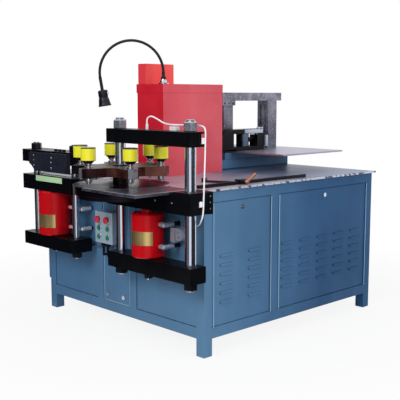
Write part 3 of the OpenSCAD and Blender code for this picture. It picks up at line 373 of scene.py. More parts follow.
def worn_plate(name, node, dark, light, bright, width):
    """A ground plate: blotched on top, with a bright worn rim of that width round the die disc's outline, and
    along the work plate's right and front edges.
    """
    f = Finish(name, light, 0.25, 0.9)
    low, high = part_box(node)
    if node == "die_disc":
        dx, dy = f.x - HUB.x, f.y - HUB.y
        near = (high.x - HUB.x) - (dx * dx + dy * dy).root()
    else:
        near = (high.x - f.x).least(f.y - low.y)
    cloud = f.noise(5, 5)
    arcs = f.noise(18, 4, (1, 0.3, 1))
    base = f.mix(cloud.ramp(0.35, 0.65) * 0.7 + arcs.ramp(0.4, 0.7) * 0.3, dark, light)
    top = f.normal()[2].ramp(0.5, 0.9)
    rim = (near + arcs * 0.003).ramp(width + 0.002, width) * top
    ground_edge = f.mix(arcs.ramp(0.4, 0.6), shade(light, 0.55), shade(light, 1.1))
    face = ground_edge if node == "work_plate" else dark
    f.set("Base Color", f.mix(rim, f.mix(top, face, base), bright))
    f.set("Roughness", cloud.ramp(0.3, 0.7) * 0.16 + 0.26)
    f.bump(arcs, 0.0001, 0.15)
    return f


def fitting_finish():
    """Pale steel on the shearing unit's fittings, and a duller one on the punching unit's, painted darker as
    painted shade.
    """
    f = steel("fitting steel", srgb(228, 230, 236), 0.24, streaks=0.06, metallic=0.55)
    # Painted shade: the fittings by the punching unit are painted darker.
    near_punch = f.x.ramp(-0.62, -0.6)
    f.set("Base Color", f.mix(near_punch, srgb(228, 230, 236), srgb(150, 158, 174)))
    f.set("Metallic", near_punch * -0.15 + 0.55)
    return f


def nut_finish():
    """Zinc on the nuts above the table, blackened steel on those below it."""
    f = steel("nut steel", srgb(196, 200, 210), 0.24, streaks=0.08)
    above_table = f.z.ramp(TABLE_TOP + 0.01, TABLE_TOP + 0.02)
    zinc = f.mix(f.noise(12, 3).ramp(0.35, 0.65), srgb(168, 172, 184), srgb(212, 214, 222))
    f.set("Base Color", f.mix(above_table, srgb(20, 20, 26), zinc))
    f.set("Metallic", above_table * 0.6 + 0.35)
    return f


def gooseneck():
    """Black flexible arm with fine ribs round its bend."""
    ribs_per_radian = 300
    f = paint("gooseneck", srgb(12, 14, 26), 0.36, gloss=0.3)
    centre = middle("lamp_arm")
    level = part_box("lamp_arm")[1].z - BEND - ARM_RADIUS
    heading = math.radians(HEADING - 180)
    across = (f.x - centre.x) * math.cos(heading) + (f.y - centre.y) * math.sin(heading)
    turn = f.node("ShaderNodeMath", {"operation": "ARCTAN2"}, {0: f.z - level, 1: across})
    f.bump(turn.maths("SINE", turn * ribs_per_radian), 0.0010, 0.12)
    return f


def ram_finish():
    """Blue grey bar of the bending ram, with a black head behind it and a black nose before it."""
    f = paint("ram grey", srgb(64, 84, 108), 0.4, worn=0.25)
    behind = f.y.ramp(NOSE.y + 0.056, NOSE.y + 0.059)
    before = f.y.ramp(NOSE.y + 0.0115, NOSE.y + 0.009)
    f.set("Base Color", f.mix(behind.most(before), srgb(66, 88, 114), srgb(12, 12, 18)))
    return f


# ---------------------------------------------------------------- finishes
finish = {
    "cabinet_blue": cabinet_finish(),
    "cabinet_red": cabinet_red_finish(),
    "cylinder_red": paint("cylinder red", srgb(180, 4, 16), 0.26, coat=0.1, worn=0.04, gloss=0.14),
    "press_black": paint("press black", srgb(8, 9, 14), 0.34, worn=0.25, gloss=0.16),
    "black_steel": paint("black steel", srgb(18, 19, 28), 0.3, worn=0.4, gloss=0.3),
    "lamp_black": paint("lamp black", srgb(12, 14, 26), 0.3, gloss=0.35),
    "tank_paint": paint("tank paint", srgb(130, 136, 140), 0.45),
    "motor_paint": paint("motor paint", srgb(60, 84, 110), 0.45),
    "valve_steel": steel("valve steel", srgb(176, 178, 186), 0.32),
    "zinc": steel("zinc", srgb(214, 216, 224), 0.2, streaks=0.08),
    "copper": steel("copper", srgb(190, 132, 106), 0.42),
    "chrome_rod": Finish("chrome rod", srgb(206, 214, 230), 0.17, 1.0),
    "box_grey": paint("box grey", srgb(146, 164, 180), 0.45, worn=0.05),
    "button_red": paint("button red", srgb(206, 44, 66), 0.25, worn=0.03),
    "button_green": paint("button green", srgb(14, 124, 84), 0.25, worn=0.03),
    "hose_rubber": paint("hose rubber", srgb(10, 10, 13), 0.5, gloss=0.2),
    "cable_white": paint("cable white", srgb(232, 230, 236), 0.4, worn=0.03),
    "weathered_grey": weathered("weathered grey"),
    "table_steel": table_finish(),
    "turret_brown": turret_finish(),
    "die_steel": worn_plate("die disc steel", "die_disc",
                            srgb(30, 23, 34), srgb(84, 74, 92), srgb(190, 184, 194), 0.003),
    "plate_steel": worn_plate("work plate steel", "work_plate",
                              srgb(74, 76, 92), srgb(146, 152, 172), srgb(220, 226, 240), 0.006),
}
brass = steel("brass", srgb(206, 178, 120), 0.3, (1, 1, 0.06), metallic=0.85)
strip_green = paint("pale green strip", srgb(172, 206, 160), 0.4, worn=0.03)
lens_white = paint("lamp lens", srgb(226, 230, 232), 0.2, worn=0.02)
nut_steel = nut_finish()
# The covers' rims in a lighter blue, a painted highlight along their edges
rim_highlight_blue = paint("cover rim", srgb(146, 178, 204), 0.4, worn=0.06, gloss=0.3)
ram_grey = ram_finish()
pale_steel = steel("worn pale steel", srgb(190, 196, 214), 0.34, metallic=0.6)


def dress(piece, one):
    """Gives a piece one finish and nothing else."""
    piece.data.materials.clear()
    piece.data.materials.append(one.material)


# Nodes whose finish isn't that of the other nodes in their slot
own_finish = {"punch_%d" % n: punch_finish("punch_%d" % n) for n in range(1, 7)}
own_finish["rear_plate"] = steel("rear plate steel", srgb(172, 170, 190), 0.34, (1, 0.05, 1), metallic=0.9)
own_finish["bender_die"] = own_finish["bender_frame"] = finish["press_black"]
own_finish["hydraulic_fittings"] = fitting_finish()
own_finish["shear_upper_tool"] = paint("blued tool steel", srgb(32, 36, 48), 0.32, worn=0.35, gloss=0.35)
own_finish["lamp_arm"] = gooseneck()
for name, node in nodes.items():
    dress(node, own_finish.get(name) or finish[slot_of[name]])


# ---------------------------------------------------------------- modelling helpers
def alone(piece):
    """Selects one piece and nothing else."""
    bpy.ops.object.select_all(action="DESELECT")
    piece.select_set(True)
    bpy.context.view_layer.objects.active = piece


def joined(first, *others):
    """Joins the other pieces into the first one."""
    alone(first)
    for piece in others:
        piece.select_set(True)
    bpy.ops.object.join()
    return first


def placed(piece, at, turn=(0, 0, 0)):
    """Turns a piece by these angles in degrees about the origin, moves it, and keeps that in its mesh."""
    piece.rotation_euler = [math.radians(a) for a in turn]
    piece.location = at
    bpy.ops.object.transform_apply(location=True, rotation=True, scale=True)
    return piece


def brick(low, high, rounding=0.0, at=(0, 0, 0)):
    """A box with rounded edges, whose lowest and highest corners are given as seen from a place."""
    bpy.ops.object.select_all(action="DESELECT")
    centre = [(a + b) / 2 + c for a, b, c in zip(low, high, at)]
    bpy.ops.mesh.primitive_cube_add(size=1, location=centre)
    piece = bpy.context.object
    piece.scale = [b - a for a, b in zip(low, high)]
    bpy.ops.object.transform_apply(location=True, rotation=True, scale=True)
    if rounding:
        bevel = piece.modifiers.new("edges", "BEVEL")
        bevel.width, bevel.segments = rounding, 2
        bpy.ops.object.modifier_apply(modifier=bevel.name)
        bpy.ops.object.shade_smooth_by_angle(angle=math.radians(30))
    return piece


def softened(name, width, cuts=()):
    """Rounds the sharp edges of a CAD piece over, after the boxes in cuts are taken out of it."""
    source = nodes[name]
    piece = source.copy()
    piece.data = source.data.copy()
    for key in list(piece.keys()):
        del piece[key]
    piece.name = name + "_bevelled"
    bpy.context.scene.collection.objects.link(piece)
    alone(piece)
    bpy.ops.object.mode_set(mode="EDIT")
    bpy.ops.mesh.select_all(action="SELECT")
    bpy.ops.mesh.remove_doubles(threshold=0.00001)
    bpy.ops.mesh.dissolve_limited(angle_limit=math.radians(0.6))
    bpy.ops.object.mode_set(mode="OBJECT")
    for low, high in cuts:
        cutter = brick(low, high)
        alone(piece)
        opening = piece.modifiers.new("opening", "BOOLEAN")
        opening.operation, opening.solver, opening.object = "DIFFERENCE", "EXACT", cutter
        bpy.ops.object.modifier_apply(modifier=opening.name)
        alone(cutter)
        bpy.ops.object.delete()
        alone(piece)
    bevel = piece.modifiers.new("edges", "BEVEL")
    bevel.width, bevel.segments, bevel.limit_method = width, 2, "ANGLE"
    bevel.angle_limit = math.radians(40)
    bpy.ops.object.modifier_apply(modifier=bevel.name)
    bpy.ops.object.shade_smooth_by_angle(angle=math.radians(60))
    even = piece.modifiers.new("flat faces", "WEIGHTED_NORMAL")
    even.weight, even.keep_sharp = 100, True
    bpy.ops.object.modifier_apply(modifier=even.name)
    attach(piece, body_of[name])
    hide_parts(name)


# How far each piece's edges are rounded
EDGES = {
    "punch_beam": 0.002, "punch_bottom_plate": 0.002, "punch_body": 0.0015, "shear_beam": 0.002,
    "shear_bottom_plate": 0.002, "shear_body": 0.0015, "shear_upper_tool": 0.0015, "turret_head": 0.003,
    "table_top": 0.0015, "electric_cabinet": 0.003, "electric_cabinet_top": 0.003, "cabinet_frame": 0.003,
    "work_plate": 0.0015, "die_disc": 0.0015, "control_box": 0.003, "portal_frame": 0.003,
    "punch_rods": 0.0008, "shear_rods": 0.0008, "rear_plate": 0.0012, "rear_riser": 0.004,
    "punch_1": 0.0012, "punch_2": 0.0012, "punch_3": 0.0012, "punch_4": 0.0012, "punch_5": 0.0012,
    "punch_6": 0.0012, "bender_ram": 0.001, "bender_cylinder": 0.0015, "punch_cylinder": 0.002,
    "shear_cylinder": 0.002, "hydraulic_fittings": 0.0008, "guide_rail": 0.001, "stop_clamp": 0.001,
    "lamp_head": 0.001, "lamp_base": 0.001, "cable_clips": 0.001, "fixed_panels": 0.0012,
    "front_cover": 0.0016, "side_cover_front": 0.0016, "side_cover_back": 0.0016, "cover_locks": 0.0006,
    "shear_lower_tool": 0.0008,
}
for name, width in EDGES.items():
    softened(name, width)
# The bending unit's frame is open on its right and on its left
right_opening = ((-0.66, 0.978, 1.038), (-0.6, 1.098, 1.122))
left_opening = ((-0.74, 0.978, 1.038), (-0.69, 1.156, 1.122))
softened("bender_frame", 0.002, cuts=[right_opening, left_opening])


def piece_of(name, body, slot, own, *hidden):
    """Names the piece that was just modelled, and gives it its body, finish and hidden CAD nodes. The slot
    argument is not used.
    """
    piece = bpy.context.object
    piece.name = name
    bpy.ops.object.transform_apply(location=True, rotation=True, scale=True)
    dress(piece, own)
    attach(piece, body)
    if hidden:
        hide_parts(*hidden)


def turned(rings, sides=32, at=(0, 0, 0), turn=(0, 0, 0)):
    """A stack of rings, each (radius, height), joined like work from a lathe. Six sides make a hexagon."""
    bpy.ops.object.select_all(action="DESELECT")
    bpy.ops.mesh.primitive_circle_add(vertices=sides, radius=rings[0][0], fill_type="NGON",
                                      location=(0, 0, 0))
    piece = bpy.context.object
    bpy.ops.object.mode_set(mode="EDIT")
    bpy.ops.mesh.select_all(action="SELECT")
    bpy.ops.transform.translate(value=(0, 0, rings[0][1]))
    for (r0, z0), (r1, z1) in zip(rings, rings[1:]):
        bpy.ops.mesh.extrude_region_move(TRANSFORM_OT_translate={"value": (0, 0, z1 - z0)})
        if r1 != r0:
            bpy.ops.transform.resize(value=(r1 / r0, r1 / r0, 1), center_override=(0, 0, z1))
    bpy.ops.mesh.select_all(action="SELECT")
    bpy.ops.mesh.normals_make_consistent(inside=False)
    bpy.ops.object.mode_set(mode="OBJECT")
    bpy.ops.object.shade_smooth_by_angle(angle=math.radians(30 if sides > 6 else 20))
    return placed(piece, at, turn)


def copies(offsets):
    """Copies the active piece by each offset, and joins the copies and the original into one."""
    first = bpy.context.object
    made = []
    for offset in offsets:
        alone(first)
        bpy.ops.object.duplicate()
        made.append(placed(bpy.context.object, offset))
    return joined(first, *made)


def curved_plate(axis, radius, first, last, low, high, thick):
    """A thin plate bent round an upright cylinder, between two angles in degrees."""
    bpy.ops.object.select_all(action="DESELECT")
    bpy.ops.mesh.primitive_plane_add(size=1, location=(0, 0, 0))
    piece = bpy.context.object
    bpy.ops.object.mode_set(mode="EDIT")
    bpy.ops.mesh.select_all(action="SELECT")
    bpy.ops.transform.rotate(value=math.radians(90), orient_axis="X", center_override=(0, 0, 0))
    bpy.ops.transform.resize(value=(thick, 1, high - low), center_override=(0, 0, 0))
    bpy.ops.transform.translate(value=(radius + thick / 2, 0, (high + low) / 2))
    bpy.ops.mesh.spin(steps=24, angle=math.radians(first - last), center=(0, 0, 0), axis=(0, 0, 1))
    bpy.ops.mesh.select_all(action="SELECT")
    bpy.ops.mesh.remove_doubles(threshold=0.00001)
    bpy.ops.mesh.normals_make_consistent(inside=False)
    bpy.ops.object.mode_set(mode="OBJECT")
    bpy.ops.object.shade_smooth_by_angle(angle=math.radians(30))
    return placed(piece, (*axis, 0), (0, 0, first))


# ---------------------------------------------------------------- sensor cable
# The route's points in millimetres, with heights above the table
CABLE_STOPS = [
    (-296, -132, 332), (-296, -132, 350), (-288, -130, 365), (-264, -126, 371),
    (-228, -120, 358), (-190, -113, 340), (-150, -108, 332), (-100, -103, 331),
    (-50, -98, 331), (0, -94, 331), (50, -91, 331), (84, -90, 327), (98, -90, 313),
    (101, -90, 290), (100, -90, 260), (100, -91, 220), (100, -93, 160), (100, -96, 90),
    (100, -99, 30), (100, -101, -20), (100, -103, -70), (100, -106, -105), (97, -108, -125),
    (84, -104, -144), (62, -90, -160), (34, -70, -174), (4, -54, -184), (-26, -46, -192),
    (-42, -40, -197), (-49, -33, -200), (-50, -29, -200), (-50, -25.8, -200),
]


def through(stops, steps):
    """A smooth line through the stops, with this many steps between one stop and the next."""
    line = []
    last = len(stops) - 1
    for i in range(last):
        a, b, c, d = (Vector(stops[k]) for k in (max(i - 1, 0), i, i + 1, min(i + 2, last)))
        for step in range(steps):
            t = step / steps
            line.append(0.5 * (2 * b + (c - a) * t + (2 * a - 5 * b + 4 * c - d) * t * t
                               + (3 * b - a - 3 * c + d) * t ** 3))
    return line + [Vector(stops[last])]


def round_cord(name, line, diameter):
    """A round cord along a line of points, as a mesh."""
    bpy.ops.object.select_all(action="DESELECT")
    bpy.ops.curve.primitive_bezier_curve_add(location=(0, 0, 0))
    cord = bpy.context.object
    cord.name = name
    cord.data.splines.clear()
    spline = cord.data.splines.new("POLY")
    spline.points.add(len(line) - 1)
    for point, place in zip(spline.points, line):
        point.co = (*place, 1)
    cord.data.bevel_depth, cord.data.bevel_resolution, cord.data.use_fill_caps = diameter / 2, 4, True
    bpy.ops.object.convert(target="MESH")
    bpy.ops.object.shade_smooth()
    return bpy.context.object


cable_line = [p / 1000 + Vector((0, 0, TABLE_TOP)) for p in through(CABLE_STOPS, 5)]
cable_length = sum((b - a).length for a, b in zip(cable_line, cable_line[1:]))
cable = round_cord("sensor_cable_smooth", cable_line, 0.008)
dress(cable, finish["cable_white"])
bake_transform(cable)
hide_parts("sensor_cable")

# ---------------------------------------------------------------- punching unit
# Ways that a nut or a screw's head can face, in degrees: some of the nuts are also turned a little
DOWN, FORWARD, RIGHTWARD = (180, 0, 0), (90, 0, 0), (0, 90, 0)
UP_TURNED, DOWN_TURNED = (0, 0, -14), (180, 0, -14)


def nut(across, height, bore, place, facing):
    """A hexagon nut with both faces chamfered, standing on its place, or hanging from it."""
    r = across / 2 / math.cos(math.radians(30))
    return turned([(r * 0.9, 0), (r, height * 0.07), (r, height * 0.9), (r * 0.88, height),
                   (bore * 1.08, height), (bore, height - 0.002), (bore, height - 0.003)], 6, place, facing)


beam_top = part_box("punch_beam")[1].z
plate_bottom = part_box("punch_bottom_plate")[0].z
to_right_column = (PUNCH_RIGHT_X - HUB.x, 0, 0)
nut(0.066, 0.048, 0.0255, (*HUB.xy, beam_top), UP_TURNED)
top_nuts = copies([to_right_column])
nut(0.066, 0.040, 0.0255, (*HUB.xy, plate_bottom), DOWN_TURNED)
low_nuts = copies([to_right_column])
ram_nut = nut(0.046, 0.032, 0.0165, (PUNCH_RAM_X, HUB.y, plate_bottom), DOWN)
joined(top_nuts, low_nuts, ram_nut)
piece_of("punch_nuts_chamfered", "punch_frame", "zinc", nut_steel, "punch_nuts")

turned([(0.0205, 0), (0.0235, 0.001), (0.0235, 0.004), (0.019, 0.0055), (0.012, 0.0055)], 32,
       (*HUB.xy, beam_top + 0.054))
copies([to_right_column])
piece_of("column_ends", "punch_frame", "zinc", finish["zinc"])

# Two low screws beside each punch, on the turret's arms, which lie a little under its hub's ring
FIRST_STATION, BESIDE_PUNCH, RING_HEIGHT = -25, 0.0265, 0.006
arm_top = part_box("turret_head")[1].z - RING_HEIGHT
places = []
for n in range(6):
    angle = math.radians(60 * n + FIRST_STATION)
    outward = Vector((math.cos(angle), math.sin(angle), 0))
    station = Vector((*HUB.xy, arm_top)) + outward * STATION_RADIUS
    aside = Vector((-outward.y, outward.x, 0)) * BESIDE_PUNCH
    places += [station - aside, station + aside]
turned([(0.0045, -0.0005), (0.0045, 0.0010), (0.0041, 0.0014), (0.0024, 0.0014), (0.0024, 0.0003)], 16,
       places[0])
copies([place - places[0] for place in places[1:]])
piece_of("guide_screws", "turret", "zinc", finish["zinc"])

# Socket heads in the body's bolt holes
bolt = [(0.0066, 0), (0.0066, 0.0075), (0.0058, 0.0085), (0.0036, 0.0085), (0.0036, 0.004)]
body_low, body_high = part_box("punch_body")
turned(bolt, 20, (PUNCH_RAM_X + 0.122, HUB.y - 0.0445, body_low.z + 0.054), FORWARD)
copies([(0.128, 0, 0)])
piece_of("body_front_bolts", "base", "zinc", finish["zinc"])
turned(bolt, 20, (body_high.x - 0.0205, body_high.y - 0.016, body_low.z + 0.026), RIGHTWARD)
copies([(0, 0, 0.032), (0, 0, 0.064)])
piece_of("body_end_bolts", "base", "zinc", finish["zinc"])

brick((-0.0095, 0.004, 0.040), (-0.0045, 0.0245, 0.068), 0.001, at=(body_high.x, HUB.y, body_low.z))
piece_of("cable_tab", "base", "cable_white", finish["cable_white"])

# Blank brass plates on the two cylinders, and the pale green strip
BRASS_THICK = 0.0012
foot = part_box("punch_cylinder")[0].z
curved_plate((PUNCH_RAM_X, HUB.y), PUNCH_CYLINDER_R, -156, -24, foot + 0.071, foot + 0.144, BRASS_THICK)
piece_of("punch_plate_blank", "base", "copper", brass)
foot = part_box("shear_cylinder")[0].z
curved_plate((SHEAR_RAM_X, SHEAR_Y), SHEAR_CYLINDER_R, -147, -33, foot + 0.049, foot + 0.129, BRASS_THICK)
piece_of("shear_plate_blank", "base", "copper", brass)
low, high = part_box("shear_body")
brick((0.149, -0.0018, -0.034), (0.430, 0.0005, -0.001), 0.0006, at=(low.x, low.y, high.z))
piece_of("green_strip", "base", "box_grey", strip_green)

# ---------------------------------------------------------------- shearing unit
# The beam's ends are lower than its middle
ENDS_LOWER = 0.012
beam_low, beam_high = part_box("shear_beam")
plate_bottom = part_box("shear_bottom_plate")[0].z
nut(0.058, 0.036, 0.0185, (SHEAR_LEFT_X, SHEAR_Y, beam_high.z - ENDS_LOWER), UP_TURNED)
top_nuts = copies([(SHEAR_RIGHT_X - SHEAR_LEFT_X, 0, 0)])
low_nut = nut(0.058, 0.036, 0.0185, (SHEAR_RIGHT_X, SHEAR_Y, plate_bottom), DOWN)
ram_nut = nut(0.046, 0.024, 0.0165, (SHEAR_RAM_X, SHEAR_Y, plate_bottom), DOWN)
joined(top_nuts, low_nut, ram_nut)
piece_of("shear_nuts_chamfered", "shear_frame", "black_steel", finish["black_steel"], "shear_nuts")

# Bolts of the upper tool's holder, right of its left side and above the beam's lower face
tool_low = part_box("shear_upper_tool")[0]
places = [Vector((tool_low.x + x, tool_low.y + 0.0155, beam_low.z + z)) for x, z in (
    (0.054, 0.044), (0.054, 0.014), (0.054, -0.017), (0.243, 0.037), (0.243, 0.011), (0.243, -0.023))]
turned([(0.0062, 0), (0.0062, 0.009), (0.0052, 0.0102), (0.003, 0.0102), (0.003, 0.005)], 20,
       places[0], FORWARD)
copies([place - places[0] for place in places[1:]])
piece_of("holder_bolts", "shear_frame", "black_steel", finish["zinc"])

# ---------------------------------------------------------------- covers
# Their folded rims are painted a lighter blue, a painted highlight: how wide a rim is, and how far it stands
# out of and into its sheet
RIM, PROUD, SUNK = 0.0042, 0.0006, 0.001
rims = []
for name in ("side_cover_front", "side_cover_back"):
    low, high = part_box(name)
    rims += [((high.x - SUNK, y, low.z), (high.x + PROUD, y + RIM, high.z)) for y in (low.y, high.y - RIM)]
low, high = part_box("front_cover")
rims += [((x, low.y - PROUD, low.z), (x + RIM, low.y + SUNK, high.z)) for x in (low.x, high.x - RIM)]
rims.append(((low.x, low.y - PROUD, low.z), (high.x, low.y + SUNK, low.z + RIM)))
bars = [brick(lowest, highest, 0.0004) for lowest, highest in rims]
joined(bars[-1], *bars[:-1])
piece_of("cover_rims", "base", "cabinet_blue", rim_highlight_blue)

# ---------------------------------------------------------------- control box
# Rings round its six buttons, and the two glands under it
box_low, box_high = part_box("control_box")
buttons = ["stop_button_%d" % n for n in (1, 2)] + ["start_button_%d" % n for n in (1, 2, 3, 4)]
places = [Vector((middle(name).x, box_low.y, middle(name).z)) for name in buttons]
turned([(0.0172, -0.0003), (0.0172, 0.003), (0.016, 0.0042), (0.0148, 0.0042), (0.0148, 0.0002)], 32,
       places[0], FORWARD)
copies([place - places[0] for place in places[1:]])
piece_of("button_rings", "base", "zinc", finish["zinc"])
turned([(0.0118, -0.0225), (0.0135, -0.0215), (0.0135, -0.010), (0.0122, -0.009), (0.0145, -0.0085),
        (0.0145, -0.0002)], 24, (box_low.x + 0.045, box_high.y - 0.034, box_low.z + 0.022))
copies([(0.042, 0, 0)])
piece_of("glands", "base", "hose_rubber", finish["hose_rubber"])

# Thin grey lead along the cabinet's front, from the shear towards the punching unit, in millimetres
lead = through([(-1010, -33, 452), (-960, -33, 462), (-900, -34, 470), (-850, -36, 474), (-800, -50, 471),
                (-760, -50, 466), (-720, -38, 462), (-690, -28, 460), (-680, -22, 460)], 5)
round_cord("front_lead", [p / 1000 for p in lead], 0.007)
piece_of("front_lead", "base", "cable_white", finish["weathered_grey"])

# ---------------------------------------------------------------- lamp
def on_lamp(piece):
    """Carries a piece modelled at the end of the lamp's arm, with Z along the arm, to its place."""
    alone(piece)
    placed(piece, (BEND, 0, -DROP))
    placed(piece, (BEND, 0, RISE), (0, LEAN, 0))
    placed(piece, LAMP_FOOT, (0, 0, HEADING))


LAMP_HEAD = [
    (0.010, 0.012), (0.0105, 0.009), (0.021, 0.0075), (0.0272, 0.003), (0.0282, -0.004), (0.0284, -0.031),
    (0.0278, -0.034), (0.0272, -0.0365), (0.0280, -0.039), (0.0298, -0.0415), (0.0324, -0.056),
    (0.0360, -0.078), (0.0368, -0.0805), (0.0380, -0.082), (0.0385, -0.0865), (0.0375, -0.088),
    (0.0352, -0.088), (0.0345, -0.084),
]
on_lamp(turned(LAMP_HEAD, 48))
piece_of("lamp_head_stepped", "base", "lamp_black", finish["lamp_black"], "lamp_head")
on_lamp(turned([(0.034, -0.0835), (0.0335, -0.085), (0.026, -0.0862), (0.010, -0.0868)], 48))
piece_of("lamp_lens", "base", "cable_white", lens_white)
turned([(0.012, 0), (0.0165, 0.001), (0.0165, 0.012), (0.0125, 0.0155), (0.0105, 0.019)], 6,
       (*LAMP_FOOT[:2], LAMP_FOOT[2] - 0.004))
piece_of("lamp_collar", "base", "lamp_black", finish["lamp_black"])
on_lamp(brick((-0.034, -0.008, -0.024), (-0.024, 0.008, -0.008), 0.0015))
piece_of("lamp_switch_bit", "base", "zinc", finish["zinc"])
on_lamp(brick((-0.030, -0.0095, -0.0075), (-0.014, 0.0095, 0.0055), 0.003))
piece_of("lamp_switch", "base", "lamp_black", finish["lamp_black"])

# ---------------------------------------------------------------- stop's copper lever
# A ball at its foot, a handle that widens, and a pin through the ball
LEVER_WAY = Vector((0.16, 0.80, 0.58))
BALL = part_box("stop_clamp")[1] + Vector((0.0165, -0.031, -0.012))
lever = turned([(0.0065, -0.011), (0.0105, -0.0085), (0.0125, -0.003), (0.0125, 0.003), (0.0105, 0.0085),
                (0.0075, 0.012), (0.0078, 0.024), (0.0092, 0.056), (0.0094, 0.066), (0.0078, 0.0705),
                (0.0050, 0.0712)], 28)
lever.rotation_euler = LEVER_WAY.to_track_quat("Z", "Y").to_euler()
lever.location = BALL
bpy.ops.object.transform_apply(location=True, rotation=True, scale=True)
pin = turned([(0.0058, -0.026), (0.0062, -0.025), (0.0062, 0), (0.004, 0.001)], 24,
             BALL + Vector((0.003, 0, 0)), RIGHTWARD)
joined(pin, lever)
piece_of("clamp_lever_rounded", "clamp_lever", "copper", finish["copper"], "clamp_lever")

# ---------------------------------------------------------------- bender
# The ram: its bar, the head behind the bar, the rod, and the nose before the bar
bar = brick((0.028, 0.010, -0.0405), (0.0428, 0.057, 0.0405), 0.0015, at=NOSE)
head = brick((-0.005, 0.053, -0.020), (0.029, 0.070, 0.024), 0.002, at=NOSE)
rod = turned([(0.0158, 0), (0.0158, 0.20)], 40, NOSE + Vector((0, 0.065, 0)), (-90, 0, 0))
nose = brick((0.019, 0, -0.010), (0.0415, 0.011, 0.037), 0.002, at=NOSE)
joined(bar, head, rod, nose)
piece_of("bender_ram_dressed", "bending_ram", "die_steel", ram_grey, "bender_ram")
# Bright steel on the frame's right side and at its back, then the screws in its top bar
brick((0.0435, 0.024, 0.0435), (0.0455, 0.202, 0.0685), 0.0006, at=NOSE)
piece_of("bender_bright_side", "base", "black_steel", pale_steel)
brick((0.043, 0.221, -0.047), (0.057, 0.241, 0.028), 0.002, at=NOSE)
piece_of("bender_bright_bar", "base", "black_steel", pale_steel)
turned([(0.0075, 0), (0.0085, 0.001), (0.0085, 0.007), (0.0072, 0.009)], 6,
       NOSE + Vector((0.036, 0.096, 0.0425)), DOWN)
copies([(0, 0.018, 0), (0, 0.056, 0)])
piece_of("bender_low_screws", "base", "zinc", finish["zinc"])
turned([(0.0105, 0), (0.0115, 0.001), (0.0115, 0.009), (0.0098, 0.0115)], 6,
       NOSE + Vector((0.029, 0.168, 0.0695)))
copies([(0, 0.034, 0)])
piece_of("bender_top_screws", "base", "zinc", finish["zinc"])


# ---------------------------------------------------------------- stage, light and camera
# How far from the machine's middle the shadow shows in full, and from where the floor is pure white
SHADOW_REACH, WHITE_FROM = 1.3, 2.6


def stage_material(name, share_near):
    """White where the camera, a gloss or a glass looks at it, and pale grey under the lamps. The shadow
    shows near the machine, and the floor is pure white further out."""
    f = Finish(name, srgb(232, 233, 236), 0.9)
    away_x, away_y = f.x - middle("table_top").x, f.y - middle("table_top").y
    away = (away_x * away_x + away_y * away_y).root()
    share_seen = away.ramp(SHADOW_REACH, WHITE_FROM) * (1 - share_near) + share_near
    glow = f.tree.nodes.new("ShaderNodeEmission")
    glow.inputs["Color"].default_value = WHITE
    glow.inputs["Strength"].default_value = 1
    blend = f.tree.nodes.new("ShaderNodeMixShader")
    path = f.node("ShaderNodeLightPath", out="Is Camera Ray")
    seen = path.most(f.out(path, "Is Glossy Ray")).most(f.out(path, "Is Transmission Ray"))
    f.tree.links.new((seen * share_seen).socket, blend.inputs[0])
    f.tree.links.new(f.shader.outputs[0], blend.inputs[1])
    f.tree.links.new(glow.outputs[0], blend.inputs[2])
    output = [n for n in f.tree.nodes if n.type == "OUTPUT_MATERIAL"][0]
    f.tree.links.new(blend.outputs[0], output.inputs[0])
    return f


bpy.ops.object.select_all(action="DESELECT")
bpy.ops.mesh.primitive_plane_add(size=60, location=(0, 0, -0.0005))
floor = bpy.context.object
floor.name = "floor"
dress(floor, stage_material("floor white", 0.88))

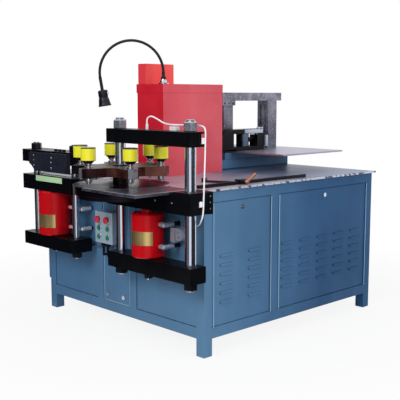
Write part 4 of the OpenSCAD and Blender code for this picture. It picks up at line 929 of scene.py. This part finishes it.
# The same white all round for what is seen, and just over half of it as light
world = bpy.data.worlds.new("studio")
bpy.context.scene.world = world
world.use_nodes = True
sky = world.node_tree
background = sky.nodes["Background"]
path = sky.nodes.new("ShaderNodeLightPath")
seen = path.outputs["Is Camera Ray"]
for ray in ("Is Glossy Ray", "Is Transmission Ray"):
    highest = sky.nodes.new("ShaderNodeMath")
    highest.operation = "MAXIMUM"
    sky.links.new(seen, highest.inputs[0])
    sky.links.new(path.outputs[ray], highest.inputs[1])
    seen = highest.outputs[0]
strength = sky.nodes.new("ShaderNodeMapRange")
sky.links.new(seen, strength.inputs["Value"])
strength.inputs["To Min"].default_value = 0.55
strength.inputs["To Max"].default_value = 1
sky.links.new(strength.outputs[0], background.inputs["Strength"])
background.inputs["Color"].default_value = WHITE


def soft_light(name, place, target, size, power):
    """A rectangular lamp that faces its target."""
    data = bpy.data.lights.new(name, "AREA")
    data.shape, data.size, data.size_y, data.energy = "RECTANGLE", size[0], size[1], power
    made = bpy.data.objects.new(name, data)
    bpy.context.scene.collection.objects.link(made)
    made.location = place
    made.rotation_euler = (Vector(target) - Vector(place)).to_track_quat("-Z", "Y").to_euler()


soft_light("key", (0.6, -4.4, 3.4), (-0.6, 0.2, 0.7), (2.5, 2.0), 130)
soft_light("side", (4.4, 0.4, 2.6), (-0.3, 0.6, 0.9), (2.6, 2.0), 95)

# The flags' cards stand round this point, and the floor before them reaches from near it to them
FLAG_CENTRE, CARD_RADIUS, CARD_HEIGHT, NEAR_RADIUS = (-0.5, -0.1), 3.1, 3.0, 0.95


def flag(name, first, last, brightness):
    """A curved card and the floor before it, of one grey, between two headings in degrees. Only
    reflections see them."""
    grey = Finish(name, (0, 0, 0, 1), 1.0)
    grey.set("Specular IOR Level", 0)
    grey.set("Emission Color", (brightness, brightness, brightness * 1.1, 1))
    grey.set("Emission Strength", 1)
    wall = curved_plate(FLAG_CENTRE, CARD_RADIUS, first, last, 0, CARD_HEIGHT, 0.02)
    ground = curved_plate(FLAG_CENTRE, NEAR_RADIUS, first, last, 0.001, 0.002, CARD_RADIUS - NEAR_RADIUS)
    made = joined(wall, ground)
    made.name = name
    dress(made, grey)
    made.visible_camera = made.visible_diffuse = made.visible_shadow = made.visible_transmission = False


flag("left flag", -182, -116, 0.01)
flag("front flag", -116, -60, 0.13)
flag("right flag", -24, 52, 0.02)

camera_data = bpy.data.cameras.new("camera")
camera = bpy.data.objects.new("camera", camera_data)
bpy.context.scene.collection.objects.link(camera)
camera.location = (2.8457, -2.7584, 1.3657)
camera.rotation_euler = (math.radians(90 - 7.63), 0, math.radians(46.214))
camera_data.sensor_width = 36
camera_data.lens = 69.78
camera_data.clip_end = 100
bpy.context.scene.camera = camera
bpy.context.scene.view_settings.view_transform = "Standard"
